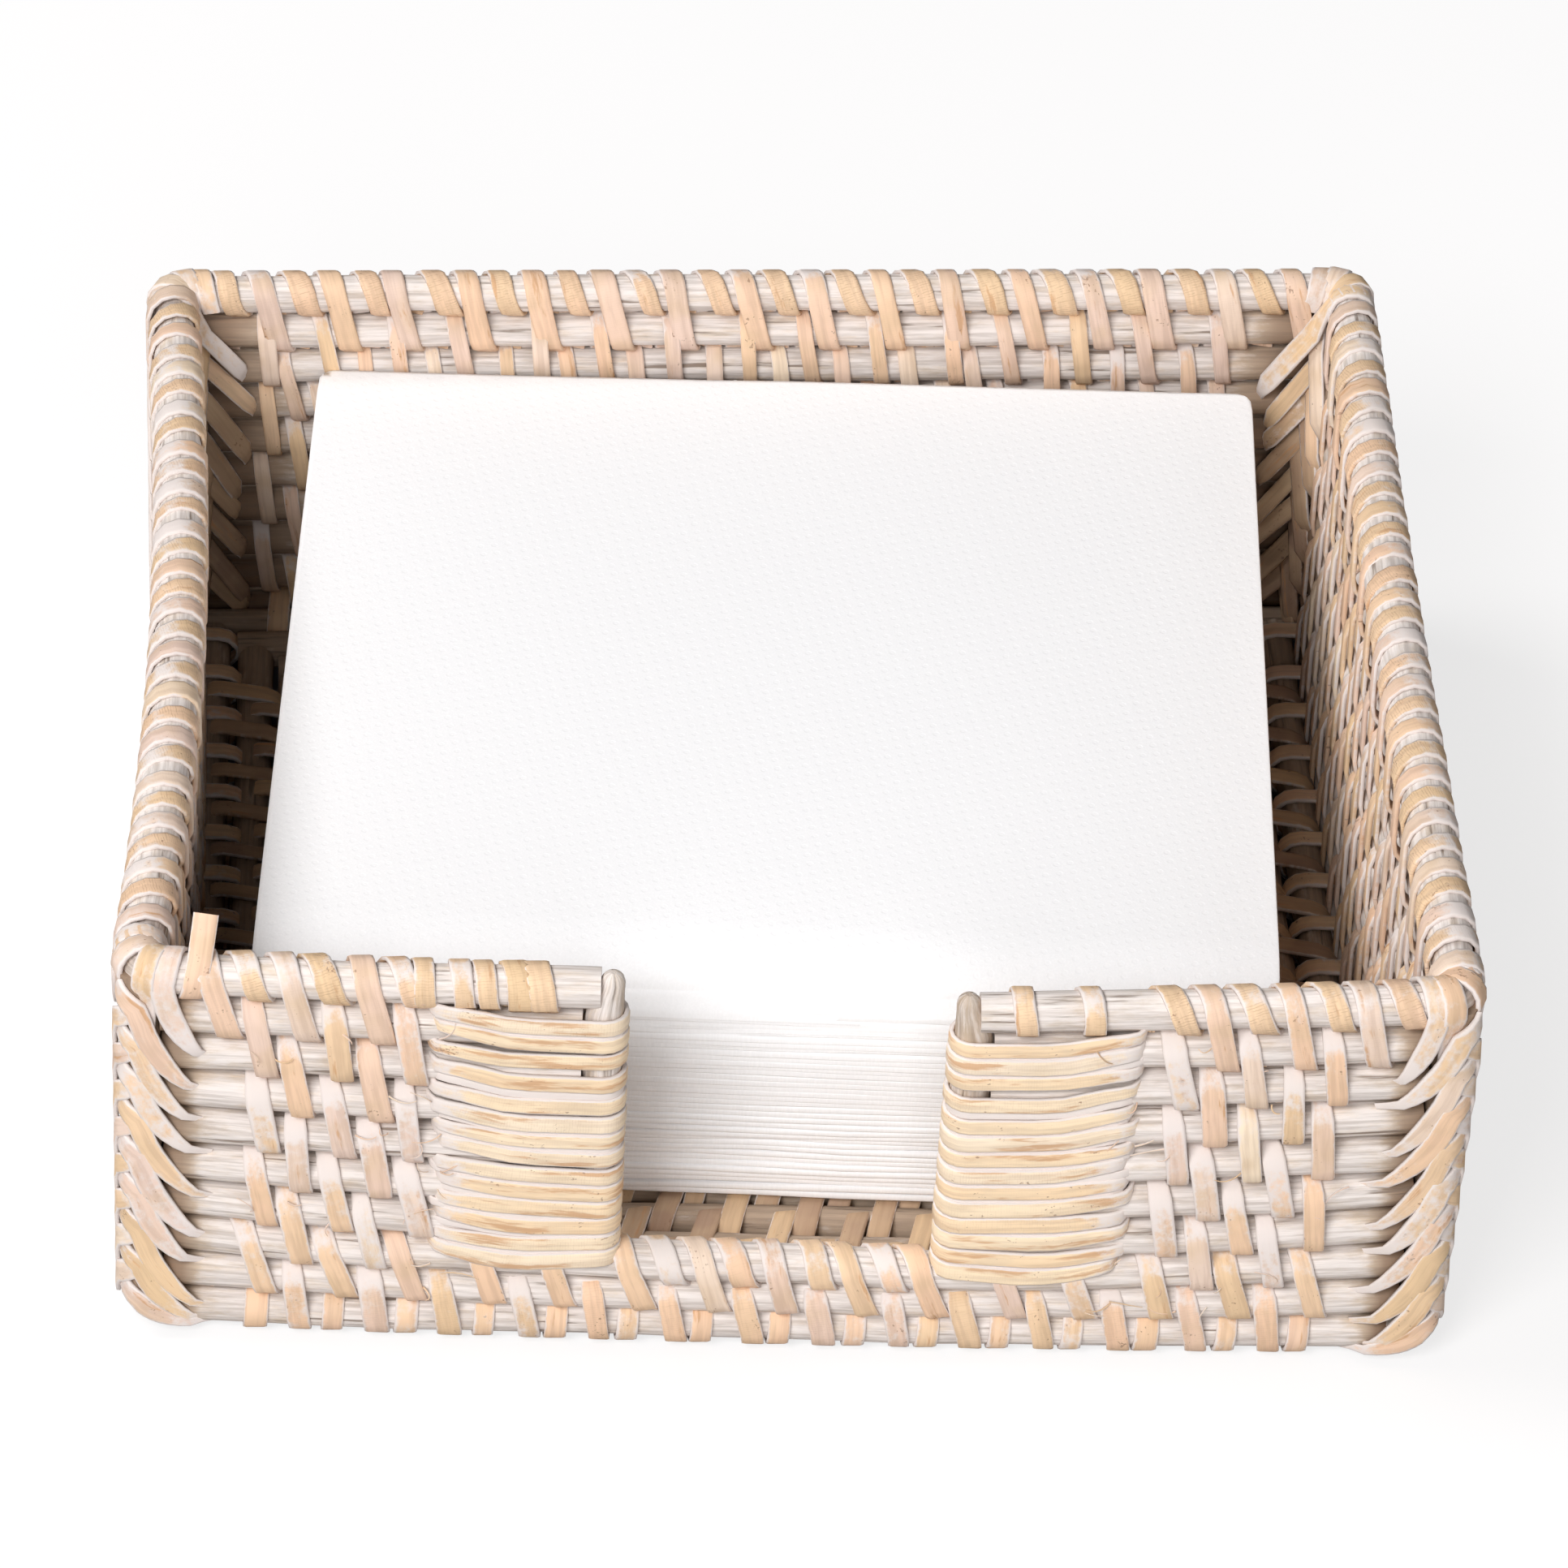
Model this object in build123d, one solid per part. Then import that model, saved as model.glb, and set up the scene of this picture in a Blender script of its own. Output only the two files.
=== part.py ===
from build123d import *
import os
from math import cos, floor, pi, tan

# Napkin tray of stacked cane rods with a bound finger notch, holding a stack of folded napkins.
# The origin is at the middle of the underside, +Z is up and the notch faces -Y.

# Overall size, over the lashing
outer_width = 210.0
outer_depth = 202.0

# Cane stock; rods are many-sided, as drawn cane is, with fewer sides under the napkins
rod_diameter = 6.3
wall_rod_sides = 8
floor_rod_sides = 6
strip_thickness = 0.8
strip_width = 4.2
seat_clearance = 0.05
butt_clearance = 0.2

# Walls: courses are counted from the rim down, and the sill is the first whole course under the notch
course_count = 10
sill_course = 8
corner_post_diameter = 6.3
lash_pitch = 11.8
foot_pitch = 39.2
sill_shares = (0.25, 0.5, 0.75)

# Finger notch and the wound band on each side of it
notch_width = 49.0
band_width = 29.5
binding_width = 2.6
binding_bend_radius = 1.4
pocket_clearance = 0.1
sample_shares = (0.0, 0.25, 0.5, 0.75)

# Folded napkins
napkin_clearance = 13.0
napkin_thickness = 1.15
napkin_gap = 0.1
napkin_count = 36
napkin_corner_radius = 2.5
stack_centre_x = 0.5
stack_centre_y = 7.5
stack_turn = -1.7

# Sizes that follow from the stock
rod_radius = rod_diameter / 2
lash_inner = rod_radius + seat_clearance
lash_outer = lash_inner + strip_thickness
course_pitch = rod_diameter + strip_thickness + 2 * seat_clearance
wall_x = outer_width / 2 - lash_outer
wall_y = outer_depth / 2 - lash_outer
corner_post_radius = corner_post_diameter / 2
rod_end_x = wall_x - corner_post_radius - butt_clearance
rod_end_y = wall_y - corner_post_radius - butt_clearance

# The band winds round the notch post and dives through the wall at its far edge
wind_radius = lash_inner + strip_thickness / 2
notch_half = notch_width / 2
notch_post_x = notch_half + strip_thickness / 2 + wind_radius
stub_end_x = notch_post_x + rod_radius + butt_clearance
dive_x = notch_half + band_width - strip_thickness / 2
binding_pitch = course_pitch / 2
binding_turns = 2 * (sill_course - 2) - 1
wind_outside_y = -wall_y - wind_radius
wind_inside_y = -wall_y + wind_radius

# The napkins fit the narrower way between the walls
napkin_side = 2 * (min(wall_x, wall_y) - lash_outer - napkin_clearance)


def course_z(course):
    """Height of a course's centre line; course 1 is the rim."""
    return lash_outer + (course_count - course) * course_pitch


def rod(start, end, diameter=rod_diameter, sides=wall_rod_sides):
    """A straight cane rod between two centre points."""
    run = Vector(*end) - Vector(*start)
    section = Plane(origin=start, z_dir=run) * RegularPolygon(diameter / 2, sides)
    return extrude(section, run.length)


def floor_rod(start, end):
    """A cane rod of the floor."""
    return rod(start, end, rod_diameter, floor_rod_sides)


def spaced(low, high, pitch):
    """Centres of strips set a pitch apart between two limits, centred in the space."""
    steps = floor((high - low - strip_width) / pitch)
    first = (low + high - steps * pitch) / 2
    return [first + step * pitch for step in range(steps + 1)]


def loop_outline(reach, low_z, high_z, open_end):
    """Outline round two rods: rounded off where it shows, square where it lies in a gap."""
    flat = reach * tan(pi / 8)
    rounded = [(reach, flat), (flat, reach), (-flat, reach), (-reach, flat)]
    square = [(-reach, -reach), (reach, -reach)]
    if open_end == "top":
        upper = [(u, high_z + v) for u, v in rounded]
        lower = [(u, low_z + v) for u, v in square]
    else:
        upper = [(-u, low_z - v) for u, v in rounded]
        lower = [(-u, high_z - v) for u, v in square]
    return Polygon(*upper, *lower, align=None)


def lash_loop(upper_course, open_end):
    """A flat strip lashed round a course and the next one below, across the Y axis."""
    low_z = course_z(upper_course + 1)
    high_z = course_z(upper_course)
    outside = loop_outline(lash_outer, low_z, high_z, open_end)
    inside = loop_outline(lash_inner, low_z, high_z, open_end)
    across = Plane(origin=(-strip_width / 2, 0, 0), x_dir=(0, 1, 0), z_dir=(1, 0, 0))
    return extrude(across * (outside - inside), strip_width)


def wall_loops(loop, x_centres, y_centres):
    """Copies of a loop along the front and back walls, and turned along the side walls."""
    front = [Pos(x, -wall_y, 0) * loop for x in x_centres["front"]]
    back = [Pos(x, wall_y, 0) * loop for x in x_centres["back"]]
    turned = Rot(0, 0, 90) * loop
    left = [Pos(-wall_x, y, 0) * turned for y in y_centres]
    right = [Pos(wall_x, y, 0) * turned for y in y_centres]
    return front + back + left + right


def climb(start, end):
    """Two equal arcs that rise from one level run to the next."""
    middle = (start + end) * 0.5
    first = Edge.make_tangent_arc(start, Vector(1, 0, 0), middle)
    second = Edge.make_tangent_arc(middle, first % 1, end)
    return [first, second]


def binding_edges():
    """Path of the wound band on the +X side, from its lowest turn to its highest."""
    inside_bend_y = wind_inside_y - binding_bend_radius
    outside_bend_y = wind_outside_y + binding_bend_radius
    run_end_x = dive_x - binding_bend_radius
    bend_inset = binding_bend_radius * (1 - cos(pi / 4))
    edges = []
    for turn in range(binding_turns):
        z = course_z(sill_course - 1) + turn * binding_pitch
        dive_start = Vector(dive_x, inside_bend_y, z)
        dive_end = Vector(dive_x, outside_bend_y, z)
        corner = Vector(dive_x - bend_inset, wind_outside_y + bend_inset, z)
        run_start = Vector(run_end_x, wind_outside_y, z)
        run_end = Vector(notch_post_x, wind_outside_y, z)
        round_post = Vector(notch_post_x - wind_radius, -wall_y, z)
        back_start = Vector(notch_post_x, wind_inside_y, z)
        edges.append(Edge.make_line(dive_start, dive_end))
        edges.append(Edge.make_three_point_arc(dive_end, corner, run_start))
        edges.append(Edge.make_line(run_start, run_end))
        edges.append(Edge.make_three_point_arc(run_end, round_post, back_start))
        if turn == binding_turns - 1:
            tail_end = Vector(notch_post_x + binding_width, wind_inside_y, z)
            edges.append(Edge.make_line(back_start, tail_end))
            break
        next_z = z + binding_pitch
        back_end = Vector(run_end_x, wind_inside_y, next_z)
        inside_corner = Vector(dive_x - bend_inset, wind_inside_y - bend_inset, next_z)
        edges.extend(climb(back_start, back_end))
        edges.append(Edge.make_three_point_arc(back_end, inside_corner, Vector(dive_x, inside_bend_y, next_z)))
    return edges


def notch_binding():
    """The band on the +X side: one unbroken flat cane wound round the post and through the wall."""
    path = Wire(binding_edges())
    section_plane = Plane(origin=path @ 0, x_dir=(1, 0, 0), z_dir=path % 0)
    return sweep(section_plane * Rectangle(strip_thickness, binding_width), path=path)


def binding_pockets(side):
    """Slits in the rods where the turns of one band pass through the wall."""
    width = binding_bend_radius + strip_thickness + 2 * pocket_clearance
    height = binding_width + 2 * pocket_clearance
    centre_x = dive_x + strip_thickness / 2 + pocket_clearance - width / 2
    slit = Box(width, lash_outer * 2, height)
    levels = [course_z(sill_course - 1) + turn * binding_pitch for turn in range(binding_turns)]
    return [Pos(side * centre_x, -wall_y, z) * slit for z in levels]


def least_gap(edges):
    """Least clear space between turns of a band, measured on points more than half a turn apart."""
    points = []
    travelled = 0
    for edge in edges:
        points.extend((travelled + share * edge.length, edge @ share) for share in sample_shares)
        travelled += edge.length
    half_turn = travelled / binding_turns / 2
    gaps = []
    for place, (here, point) in enumerate(points):
        for there, other in points[place + 1:]:
            if there - here > half_turn:
                beside = Vector(point.X - other.X, point.Y - other.Y, 0).length - strip_thickness
                above = abs(point.Z - other.Z) - binding_width
                gaps.append(max(beside, above))
    return min(gaps)


def straight_wall(name, axis_point):
    """Whole rods of one wall, one node for each course."""
    nodes = {}
    for course in range(1, course_count + 1):
        start, end = axis_point(course_z(course))
        nodes[f"{name}_rod_{course:02d}"] = [rod(start, end)]
    return nodes


def front_wall():
    """Front rods: a pair of stubs beside the notch, then whole rods from the sill down."""
    pockets = {side: binding_pockets(side) for side in (-1, 1)}
    nodes = {}
    for course in range(1, course_count + 1):
        z = course_z(course)
        if course >= sill_course:
            nodes[f"front_rod_{course:02d}"] = [rod((-rod_end_x, -wall_y, z), (rod_end_x, -wall_y, z))]
            continue
        stubs = []
        for side in (-1, 1):
            stub = rod((side * stub_end_x, -wall_y, z), (side * rod_end_x, -wall_y, z))
            stubs.append(stub - pockets[side])
        nodes[f"front_rod_{course:02d}"] = stubs
    return nodes


def posts():
    """Upright posts at the four corners and at the two edges of the notch."""
    top = course_z(1) + rod_radius
    foot = course_z(course_count) - rod_radius
    nodes = {}
    for depth_name, y in (("front", -wall_y), ("back", wall_y)):
        for side_name, x in (("left", -wall_x), ("right", wall_x)):
            name = f"corner_post_{depth_name}_{side_name}"
            nodes[name] = [rod((x, y, foot), (x, y, top), corner_post_diameter)]
    notch_foot = course_z(sill_course) + rod_radius + butt_clearance
    for side_name, x in (("left", -notch_post_x), ("right", notch_post_x)):
        nodes[f"notch_post_{side_name}"] = [rod((x, -wall_y, notch_foot), (x, -wall_y, top))]
    return nodes


def floor_rods():
    """Rings of rods inside the bottom course, each ring butted at its corners."""
    nodes = {f"floor_rods_{side}": [] for side in ("front", "back", "left", "right")}
    z = course_z(course_count)
    rings = floor((min(wall_x, wall_y) - rod_radius) / course_pitch)
    for ring in range(1, rings + 1):
        half_x = wall_x - ring * course_pitch
        half_y = wall_y - ring * course_pitch
        reach_x = half_x + rod_radius
        reach_y = half_y - rod_radius - butt_clearance
        nodes["floor_rods_front"].append(floor_rod((-reach_x, -half_y, z), (reach_x, -half_y, z)))
        nodes["floor_rods_back"].append(floor_rod((-reach_x, half_y, z), (reach_x, half_y, z)))
        if reach_y > rod_radius:
            nodes["floor_rods_left"].append(floor_rod((-half_x, -reach_y, z), (-half_x, reach_y, z)))
            nodes["floor_rods_right"].append(floor_rod((half_x, -reach_y, z), (half_x, reach_y, z)))
    return nodes


def lashing():
    """Strips that show at the rim, on the sill of the notch and under the foot."""
    whole_x = spaced(-rod_end_x, rod_end_x, lash_pitch)
    whole_y = spaced(-rod_end_y, rod_end_y, lash_pitch)
    stub_x = spaced(dive_x + strip_width / 2, rod_end_x, lash_pitch)
    rim_x = {"front": [-x for x in stub_x] + stub_x, "back": whole_x}
    rim = wall_loops(lash_loop(1, "top"), rim_x, whole_y)
    foot_line = spaced(-rod_end_x, rod_end_x, foot_pitch)
    foot_x = {"front": foot_line, "back": foot_line}
    foot_y = spaced(-rod_end_y, rod_end_y, foot_pitch)
    foot = wall_loops(lash_loop(course_count - 1, "bottom"), foot_x, foot_y)
    sill_loop = lash_loop(sill_course, "top")
    between = [low + share * foot_pitch for low in foot_line for share in sill_shares]
    sill_x = [x for x in between if abs(x) + strip_width / 2 < notch_half]
    sill = [Pos(x, -wall_y, 0) * sill_loop for x in sill_x]
    return {"rim_lashing": rim, "sill_lashing": sill, "foot_lashing": foot}


def napkins():
    """Square folded napkins, laid on the floor's lashing and turned a little in the tray."""
    step = napkin_thickness + napkin_gap
    base_z = course_z(course_count) + lash_outer
    place = Pos(stack_centre_x, stack_centre_y, base_z) * Rot(0, 0, stack_turn)
    sheet = extrude(Rectangle(napkin_side, napkin_side), napkin_thickness)
    stack = [place * Pos(0, 0, level * step) * sheet for level in range(napkin_count)]
    top_outline = RectangleRounded(napkin_side, napkin_side, napkin_corner_radius)
    top = place * Pos(0, 0, napkin_count * step) * extrude(top_outline, napkin_thickness)
    return {"napkin_stack": stack, "top_napkin": [top]}


right_binding = notch_binding()
print(f"least gap between the turns of a band: {least_gap(binding_edges()):.2f} mm")

nodes = {}
nodes.update(straight_wall("back", lambda z: ((-rod_end_x, wall_y, z), (rod_end_x, wall_y, z))))
nodes.update(straight_wall("left", lambda z: ((-wall_x, -rod_end_y, z), (-wall_x, rod_end_y, z))))
nodes.update(straight_wall("right", lambda z: ((wall_x, -rod_end_y, z), (wall_x, rod_end_y, z))))
nodes.update(front_wall())
nodes.update(posts())
nodes["notch_binding_left"] = [mirror(right_binding, Plane.YZ)]
nodes["notch_binding_right"] = [right_binding]
nodes.update(floor_rods())
nodes.update(lashing())
nodes.update(napkins())

os.makedirs("parts", exist_ok=True)
for name, pieces in nodes.items():
    solids = [solid for piece in pieces for solid in piece.solids()]
    export_step(Compound(children=solids), f"parts/{name}.step")
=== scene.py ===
"""Looks of a napkin tray: whitewashed cane rods, lashed and bound with split cane, and folded napkins."""

import itertools
import logging
import math
from dataclasses import dataclass, field
from enum import Enum

import bpy
import numpy as np
from mathutils import Matrix, Vector


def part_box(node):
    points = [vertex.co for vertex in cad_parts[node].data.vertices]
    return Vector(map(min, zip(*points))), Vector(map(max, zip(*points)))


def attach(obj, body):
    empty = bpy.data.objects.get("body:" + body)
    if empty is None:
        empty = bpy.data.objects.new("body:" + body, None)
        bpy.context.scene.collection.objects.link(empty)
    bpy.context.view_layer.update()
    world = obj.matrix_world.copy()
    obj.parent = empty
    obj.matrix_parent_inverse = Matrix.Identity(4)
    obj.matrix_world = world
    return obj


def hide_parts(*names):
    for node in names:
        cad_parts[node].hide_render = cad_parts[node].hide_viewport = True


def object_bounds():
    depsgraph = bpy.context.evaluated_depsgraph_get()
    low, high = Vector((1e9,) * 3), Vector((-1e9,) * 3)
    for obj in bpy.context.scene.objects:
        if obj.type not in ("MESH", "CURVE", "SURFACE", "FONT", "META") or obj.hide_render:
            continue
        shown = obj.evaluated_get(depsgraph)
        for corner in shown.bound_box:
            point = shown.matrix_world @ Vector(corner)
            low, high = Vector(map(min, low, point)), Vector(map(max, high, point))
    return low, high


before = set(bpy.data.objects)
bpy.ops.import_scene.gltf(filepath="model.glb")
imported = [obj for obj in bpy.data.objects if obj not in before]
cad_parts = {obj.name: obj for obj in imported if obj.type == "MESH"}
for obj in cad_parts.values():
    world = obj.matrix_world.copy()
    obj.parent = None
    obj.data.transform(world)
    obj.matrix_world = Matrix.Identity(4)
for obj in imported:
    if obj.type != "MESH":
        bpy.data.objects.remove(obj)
CAD_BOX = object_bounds()

MM = 0.001
UP = np.array((0.0, 0.0, 1.0))
IMAGE_SIDE = 1932
LOG = logging.getLogger("napkin_tray")
FLOAT = "NodeSocketFloat"
VECTOR = "NodeSocketVector"
GEOMETRY = "NodeSocketGeometry"

Triple = tuple[float, float, float]
Colour = Triple
Span = tuple[float, float]
Options = tuple[float, ...]
Tones = tuple[tuple[float, Colour], ...]
Array = np.ndarray
RodLine = tuple[Array, Array]
Random = np.random.Generator
Node = bpy.types.Node
Socket = bpy.types.NodeSocket
Material = bpy.types.Material
Piece = bpy.types.Object


# Small helpers


def srgb(red: int, green: int, blue: int) -> Colour:
    """A colour as it looks on screen, turned into the linear values that shaders take."""
    shares = (red / 255, green / 255, blue / 255)
    return tuple(((c + 0.055) / 1.055) ** 2.4 if c > 0.04 else c / 12.92 for c in shares)


def smooth(low: float, high: float, value: Array) -> Array:
    """A soft step from 0 at low to 1 at high."""
    share = np.clip((value - low) / (high - low), 0.0, 1.0)
    return share * share * (3.0 - 2.0 * share)


def wander(run: Array, rng: Random, wavelength: float, waves: int = 3) -> Array:
    """A gentle irregular line, about -1 to 1, along a run of lengths.

    Args:
        run: Distances along the piece, in metres.
        rng: The piece's own random source.
        wavelength: Length of the longest wave, in metres.
        waves: Number of shorter and shorter waves that are added up.

    Returns:
        One value for each distance.
    """
    line = np.zeros_like(run)
    for order in range(1, waves + 1):
        line += np.sin(run * order * 2 * math.pi / wavelength + rng.uniform(0, 2 * math.pi)) / order
    return line / 1.5


def unit(rows: Array) -> Array:
    """Rows of vectors, each made one long."""
    return rows / np.maximum(np.linalg.norm(rows, axis=-1, keepdims=True), 1e-12)


def run_along(points: Array) -> Array:
    """Distance from the first point to each point of a line."""
    return chain([0.0], np.cumsum(np.linalg.norm(np.diff(points, axis=0), axis=1)))


def chain(*parts: object) -> Array:
    """Rows or numbers, one part after the other."""
    return np.concatenate(parts)


def pick(rng: Random, options: Options) -> float:
    """One number: the only one, one between two, or one of several.

    Args:
        rng: A random source, which the only one doesn't use.
        options: The numbers.

    Returns:
        The number.
    """
    if len(options) == 1:
        return options[0]
    return rng.uniform(*options) if len(options) == 2 else rng.choice(options)


def middle_and_half(node: str) -> tuple[Vector, Vector]:
    """Centre and half sizes of a CAD node's box."""
    low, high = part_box(node)
    return (low + high) / 2, (high - low) / 2


# Node trees


class NodeBench:
    """A node tree that is being wired up."""

    def __init__(self, tree: bpy.types.NodeTree) -> None:
        """Takes the tree that the nodes go into."""
        self.tree = tree

    def wire(self, node: Node, wires: dict) -> None:
        """Links or sets inputs of a node.

        Args:
            node: The node.
            wires: For each input, by name or number, a socket to link from or a value to set.
        """
        for key, value in wires.items():
            if isinstance(value, Socket):
                self.tree.links.new(value, node.inputs[key])
            else:
                node.inputs[key].default_value = value

    def add(self, kind: str, wires: dict | None = None, **settings: object) -> Node:
        """Adds a node.

        Args:
            kind: Blender's name for the type of node.
            wires: What its inputs are linked or set to.
            **settings: Properties of the node.

        Returns:
            The new node.
        """
        node = self.tree.nodes.new(kind)
        for key, value in settings.items():
            setattr(node, key, value)
        self.wire(node, wires or {})
        return node

    def sum(self, operation: str, *values: object) -> Socket:
        """The result of one Math node on sockets or numbers."""
        return self.add("ShaderNodeMath", dict(enumerate(values)), operation=operation).outputs[0]

    def times(self, first: object, second: object) -> Socket:
        """Two sockets or numbers multiplied."""
        return self.sum("MULTIPLY", first, second)

    def stretch(self, place: Socket, by: object) -> Socket:
        """A place with each of its coordinates multiplied by its own number."""
        return self.add("ShaderNodeVectorMath", {0: place, 1: by}, operation="MULTIPLY").outputs[0]

    def step(self, value: object, low: float, high: float) -> Socket:
        """A soft step of a value, from 0 at low to 1 at high."""
        wires = {0: value, 1: low, 2: high, 3: 0.0, 4: 1.0}
        return self.add("ShaderNodeMapRange", wires, interpolation_type="SMOOTHSTEP").outputs[0]

    def noise(self, place: Socket, scale: object, detail: float = 3.0, rough: float = 0.55) -> Socket:
        """Noise from 0 to 1 at a place."""
        wires = {"Vector": place, "Scale": scale, "Detail": detail, "Roughness": rough}
        return self.add("ShaderNodeTexNoise", wires).outputs[0]

    def attribute(self, name: str, output: str = "Vector") -> Socket:
        """An attribute of the piece's mesh."""
        return self.add("ShaderNodeAttribute", attribute_name=name).outputs[output]

    def apart(self, vector: Socket) -> list[Socket]:
        """The three coordinates of a vector."""
        return list(self.add("ShaderNodeSeparateXYZ", {0: vector}).outputs)

    def joined(self, x: Socket, y: Socket, z: object = 0.0) -> Socket:
        """A vector of three coordinates."""
        return self.add("ShaderNodeCombineXYZ", {0: x, 1: y, 2: z}).outputs[0]

    def effect(self, tree: bpy.types.NodeTree, **wires: object) -> Node:
        """Places a shared shader group, with its inputs by name."""
        return self.add("ShaderNodeGroup", wires, node_tree=tree)

    def bump(self, height: Socket, strength: float, depth: float) -> Socket:
        """A normal that follows a height."""
        wires = {"Strength": strength, "Distance": depth, "Height": height}
        return self.add("ShaderNodeBump", wires).outputs[0]

    def mix(self, share: object, first: object, second: object) -> Socket:
        """A colour between two colours."""
        ends = [end if isinstance(end, Socket) else (*end, 1.0) for end in (first, second)]
        return self.add("ShaderNodeMix", {0: share, 6: ends[0], 7: ends[1]}, data_type="RGBA").outputs[2]

    def ramp(self, value: Socket, stops: Tones) -> Socket:
        """A colour picked along a ramp.

        Args:
            value: Place on the ramp, from 0 to 1.
            stops: Places with their colours, in order.

        Returns:
            The colour.
        """
        node = self.add("ShaderNodeValToRGB", {0: value})
        while len(node.color_ramp.elements) < len(stops):
            node.color_ramp.elements.new(1.0)
        for element, (place, colour) in zip(node.color_ramp.elements, stops):
            element.position = place
            element.color = (*colour, 1.0)
        return node.outputs[0]


class GroupBench(NodeBench):
    """A node group with named inputs and outputs."""

    def __init__(self, name: str, kind: str) -> None:
        """Makes an empty group.

        Args:
            name: Name of the group.
            kind: Blender's name for the type of tree.
        """
        super().__init__(bpy.data.node_groups.new(name, kind))
        self.enter = self.tree.nodes.new("NodeGroupInput")
        self.leave = self.tree.nodes.new("NodeGroupOutput")
        self.identifiers: dict[str, str] = {}

    def take(self, name: str, kind: str, default: object = None) -> Socket:
        """Adds a named input.

        Args:
            name: Name of the input.
            kind: Blender's name for the type of socket.
            default: Its usual value, if it has one.

        Returns:
            The socket that it comes in by.
        """
        item = self.tree.interface.new_socket(name, in_out="INPUT", socket_type=kind)
        if default is not None:
            item.default_value = default
        self.identifiers[name] = item.identifier
        return self.enter.outputs[name]

    def give(self, name: str, kind: str, value: Socket) -> None:
        """Adds a named output and links a socket to it."""
        self.tree.interface.new_socket(name, in_out="OUTPUT", socket_type=kind)
        self.tree.links.new(value, self.leave.inputs[name])

    def named(self, name: str, kind: str = "FLOAT") -> Socket:
        """A named attribute of the geometry."""
        return self.add("GeometryNodeInputNamedAttribute", {0: name}, data_type=kind).outputs[0]


def grain_group() -> bpy.types.NodeTree:
    """Lengthwise grain of cane, from coordinates that run along X.

    Returns:
        A group that gives streaks, pores and a height.
    """
    bench = GroupBench("cane_grain", "ShaderNodeTree")
    place = bench.take("Coordinates", VECTOR)
    length = bench.take("Along", FLOAT, 30.0)
    fineness = bench.take("Across", FLOAT, 1800.0)
    stretched = bench.stretch(place, bench.joined(length, fineness, fineness))
    streaks = bench.noise(stretched, 1.0, 4.0, 0.65)
    coarse = bench.noise(bench.stretch(stretched, (0.6, 0.33, 0.33)), 1.0, 2.0)
    pores = bench.step(bench.times(streaks, coarse), 0.165, 0.12)
    bench.give("Streaks", FLOAT, streaks)
    bench.give("Pores", FLOAT, pores)
    bench.give("Height", FLOAT, bench.sum("SUBTRACT", streaks, bench.times(pores, 0.6)))
    return bench.tree


def limewash_group() -> bpy.types.NodeTree:
    """Chalky paint that has rubbed off in patches.

    Returns:
        A group that gives a mask, more of it where the amount is higher.
    """
    bench = GroupBench("limewash", "ShaderNodeTree")
    place = bench.take("Coordinates", VECTOR)
    amount = bench.take("Amount", FLOAT, 0.5)
    scale = bench.take("Scale", FLOAT, 400.0)
    patches = bench.noise(place, scale, 5.0, 0.68)
    level = bench.sum("ADD", bench.times(patches, 0.75), amount)
    bench.give("Mask", FLOAT, bench.step(level, 0.74, 1.02))
    return bench.tree


def fleck_group() -> bpy.types.NodeTree:
    """Small scattered brown flecks and pits.

    Returns:
        A group that gives a mask.
    """
    bench = GroupBench("flecks", "ShaderNodeTree")
    place = bench.take("Coordinates", VECTOR)
    scale = bench.take("Scale", FLOAT, 1400.0)
    spots = bench.noise(place, scale, 1.0, 0.5)
    patches = bench.noise(place, 160.0, 2.0)
    bench.give("Mask", FLOAT, bench.step(bench.times(spots, patches), 0.40, 0.47))
    return bench.tree


@dataclass(frozen=True)
class EffectGroups:
    """Shader groups that more than one finish uses."""

    grain: bpy.types.NodeTree
    limewash: bpy.types.NodeTree
    flecks: bpy.types.NodeTree

    @classmethod
    def build(cls) -> "EffectGroups":
        """Makes each group once."""
        return cls(grain_group(), limewash_group(), fleck_group())


def new_material(name: str) -> tuple[Material, NodeBench, Node]:
    """Makes a material.

    Args:
        name: Its name.

    Returns:
        The material, its bench and its Principled shader.
    """
    material = bpy.data.materials.new(name)
    material.use_nodes = True
    bench = NodeBench(material.node_tree)
    return material, bench, material.node_tree.nodes["Principled BSDF"]


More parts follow.
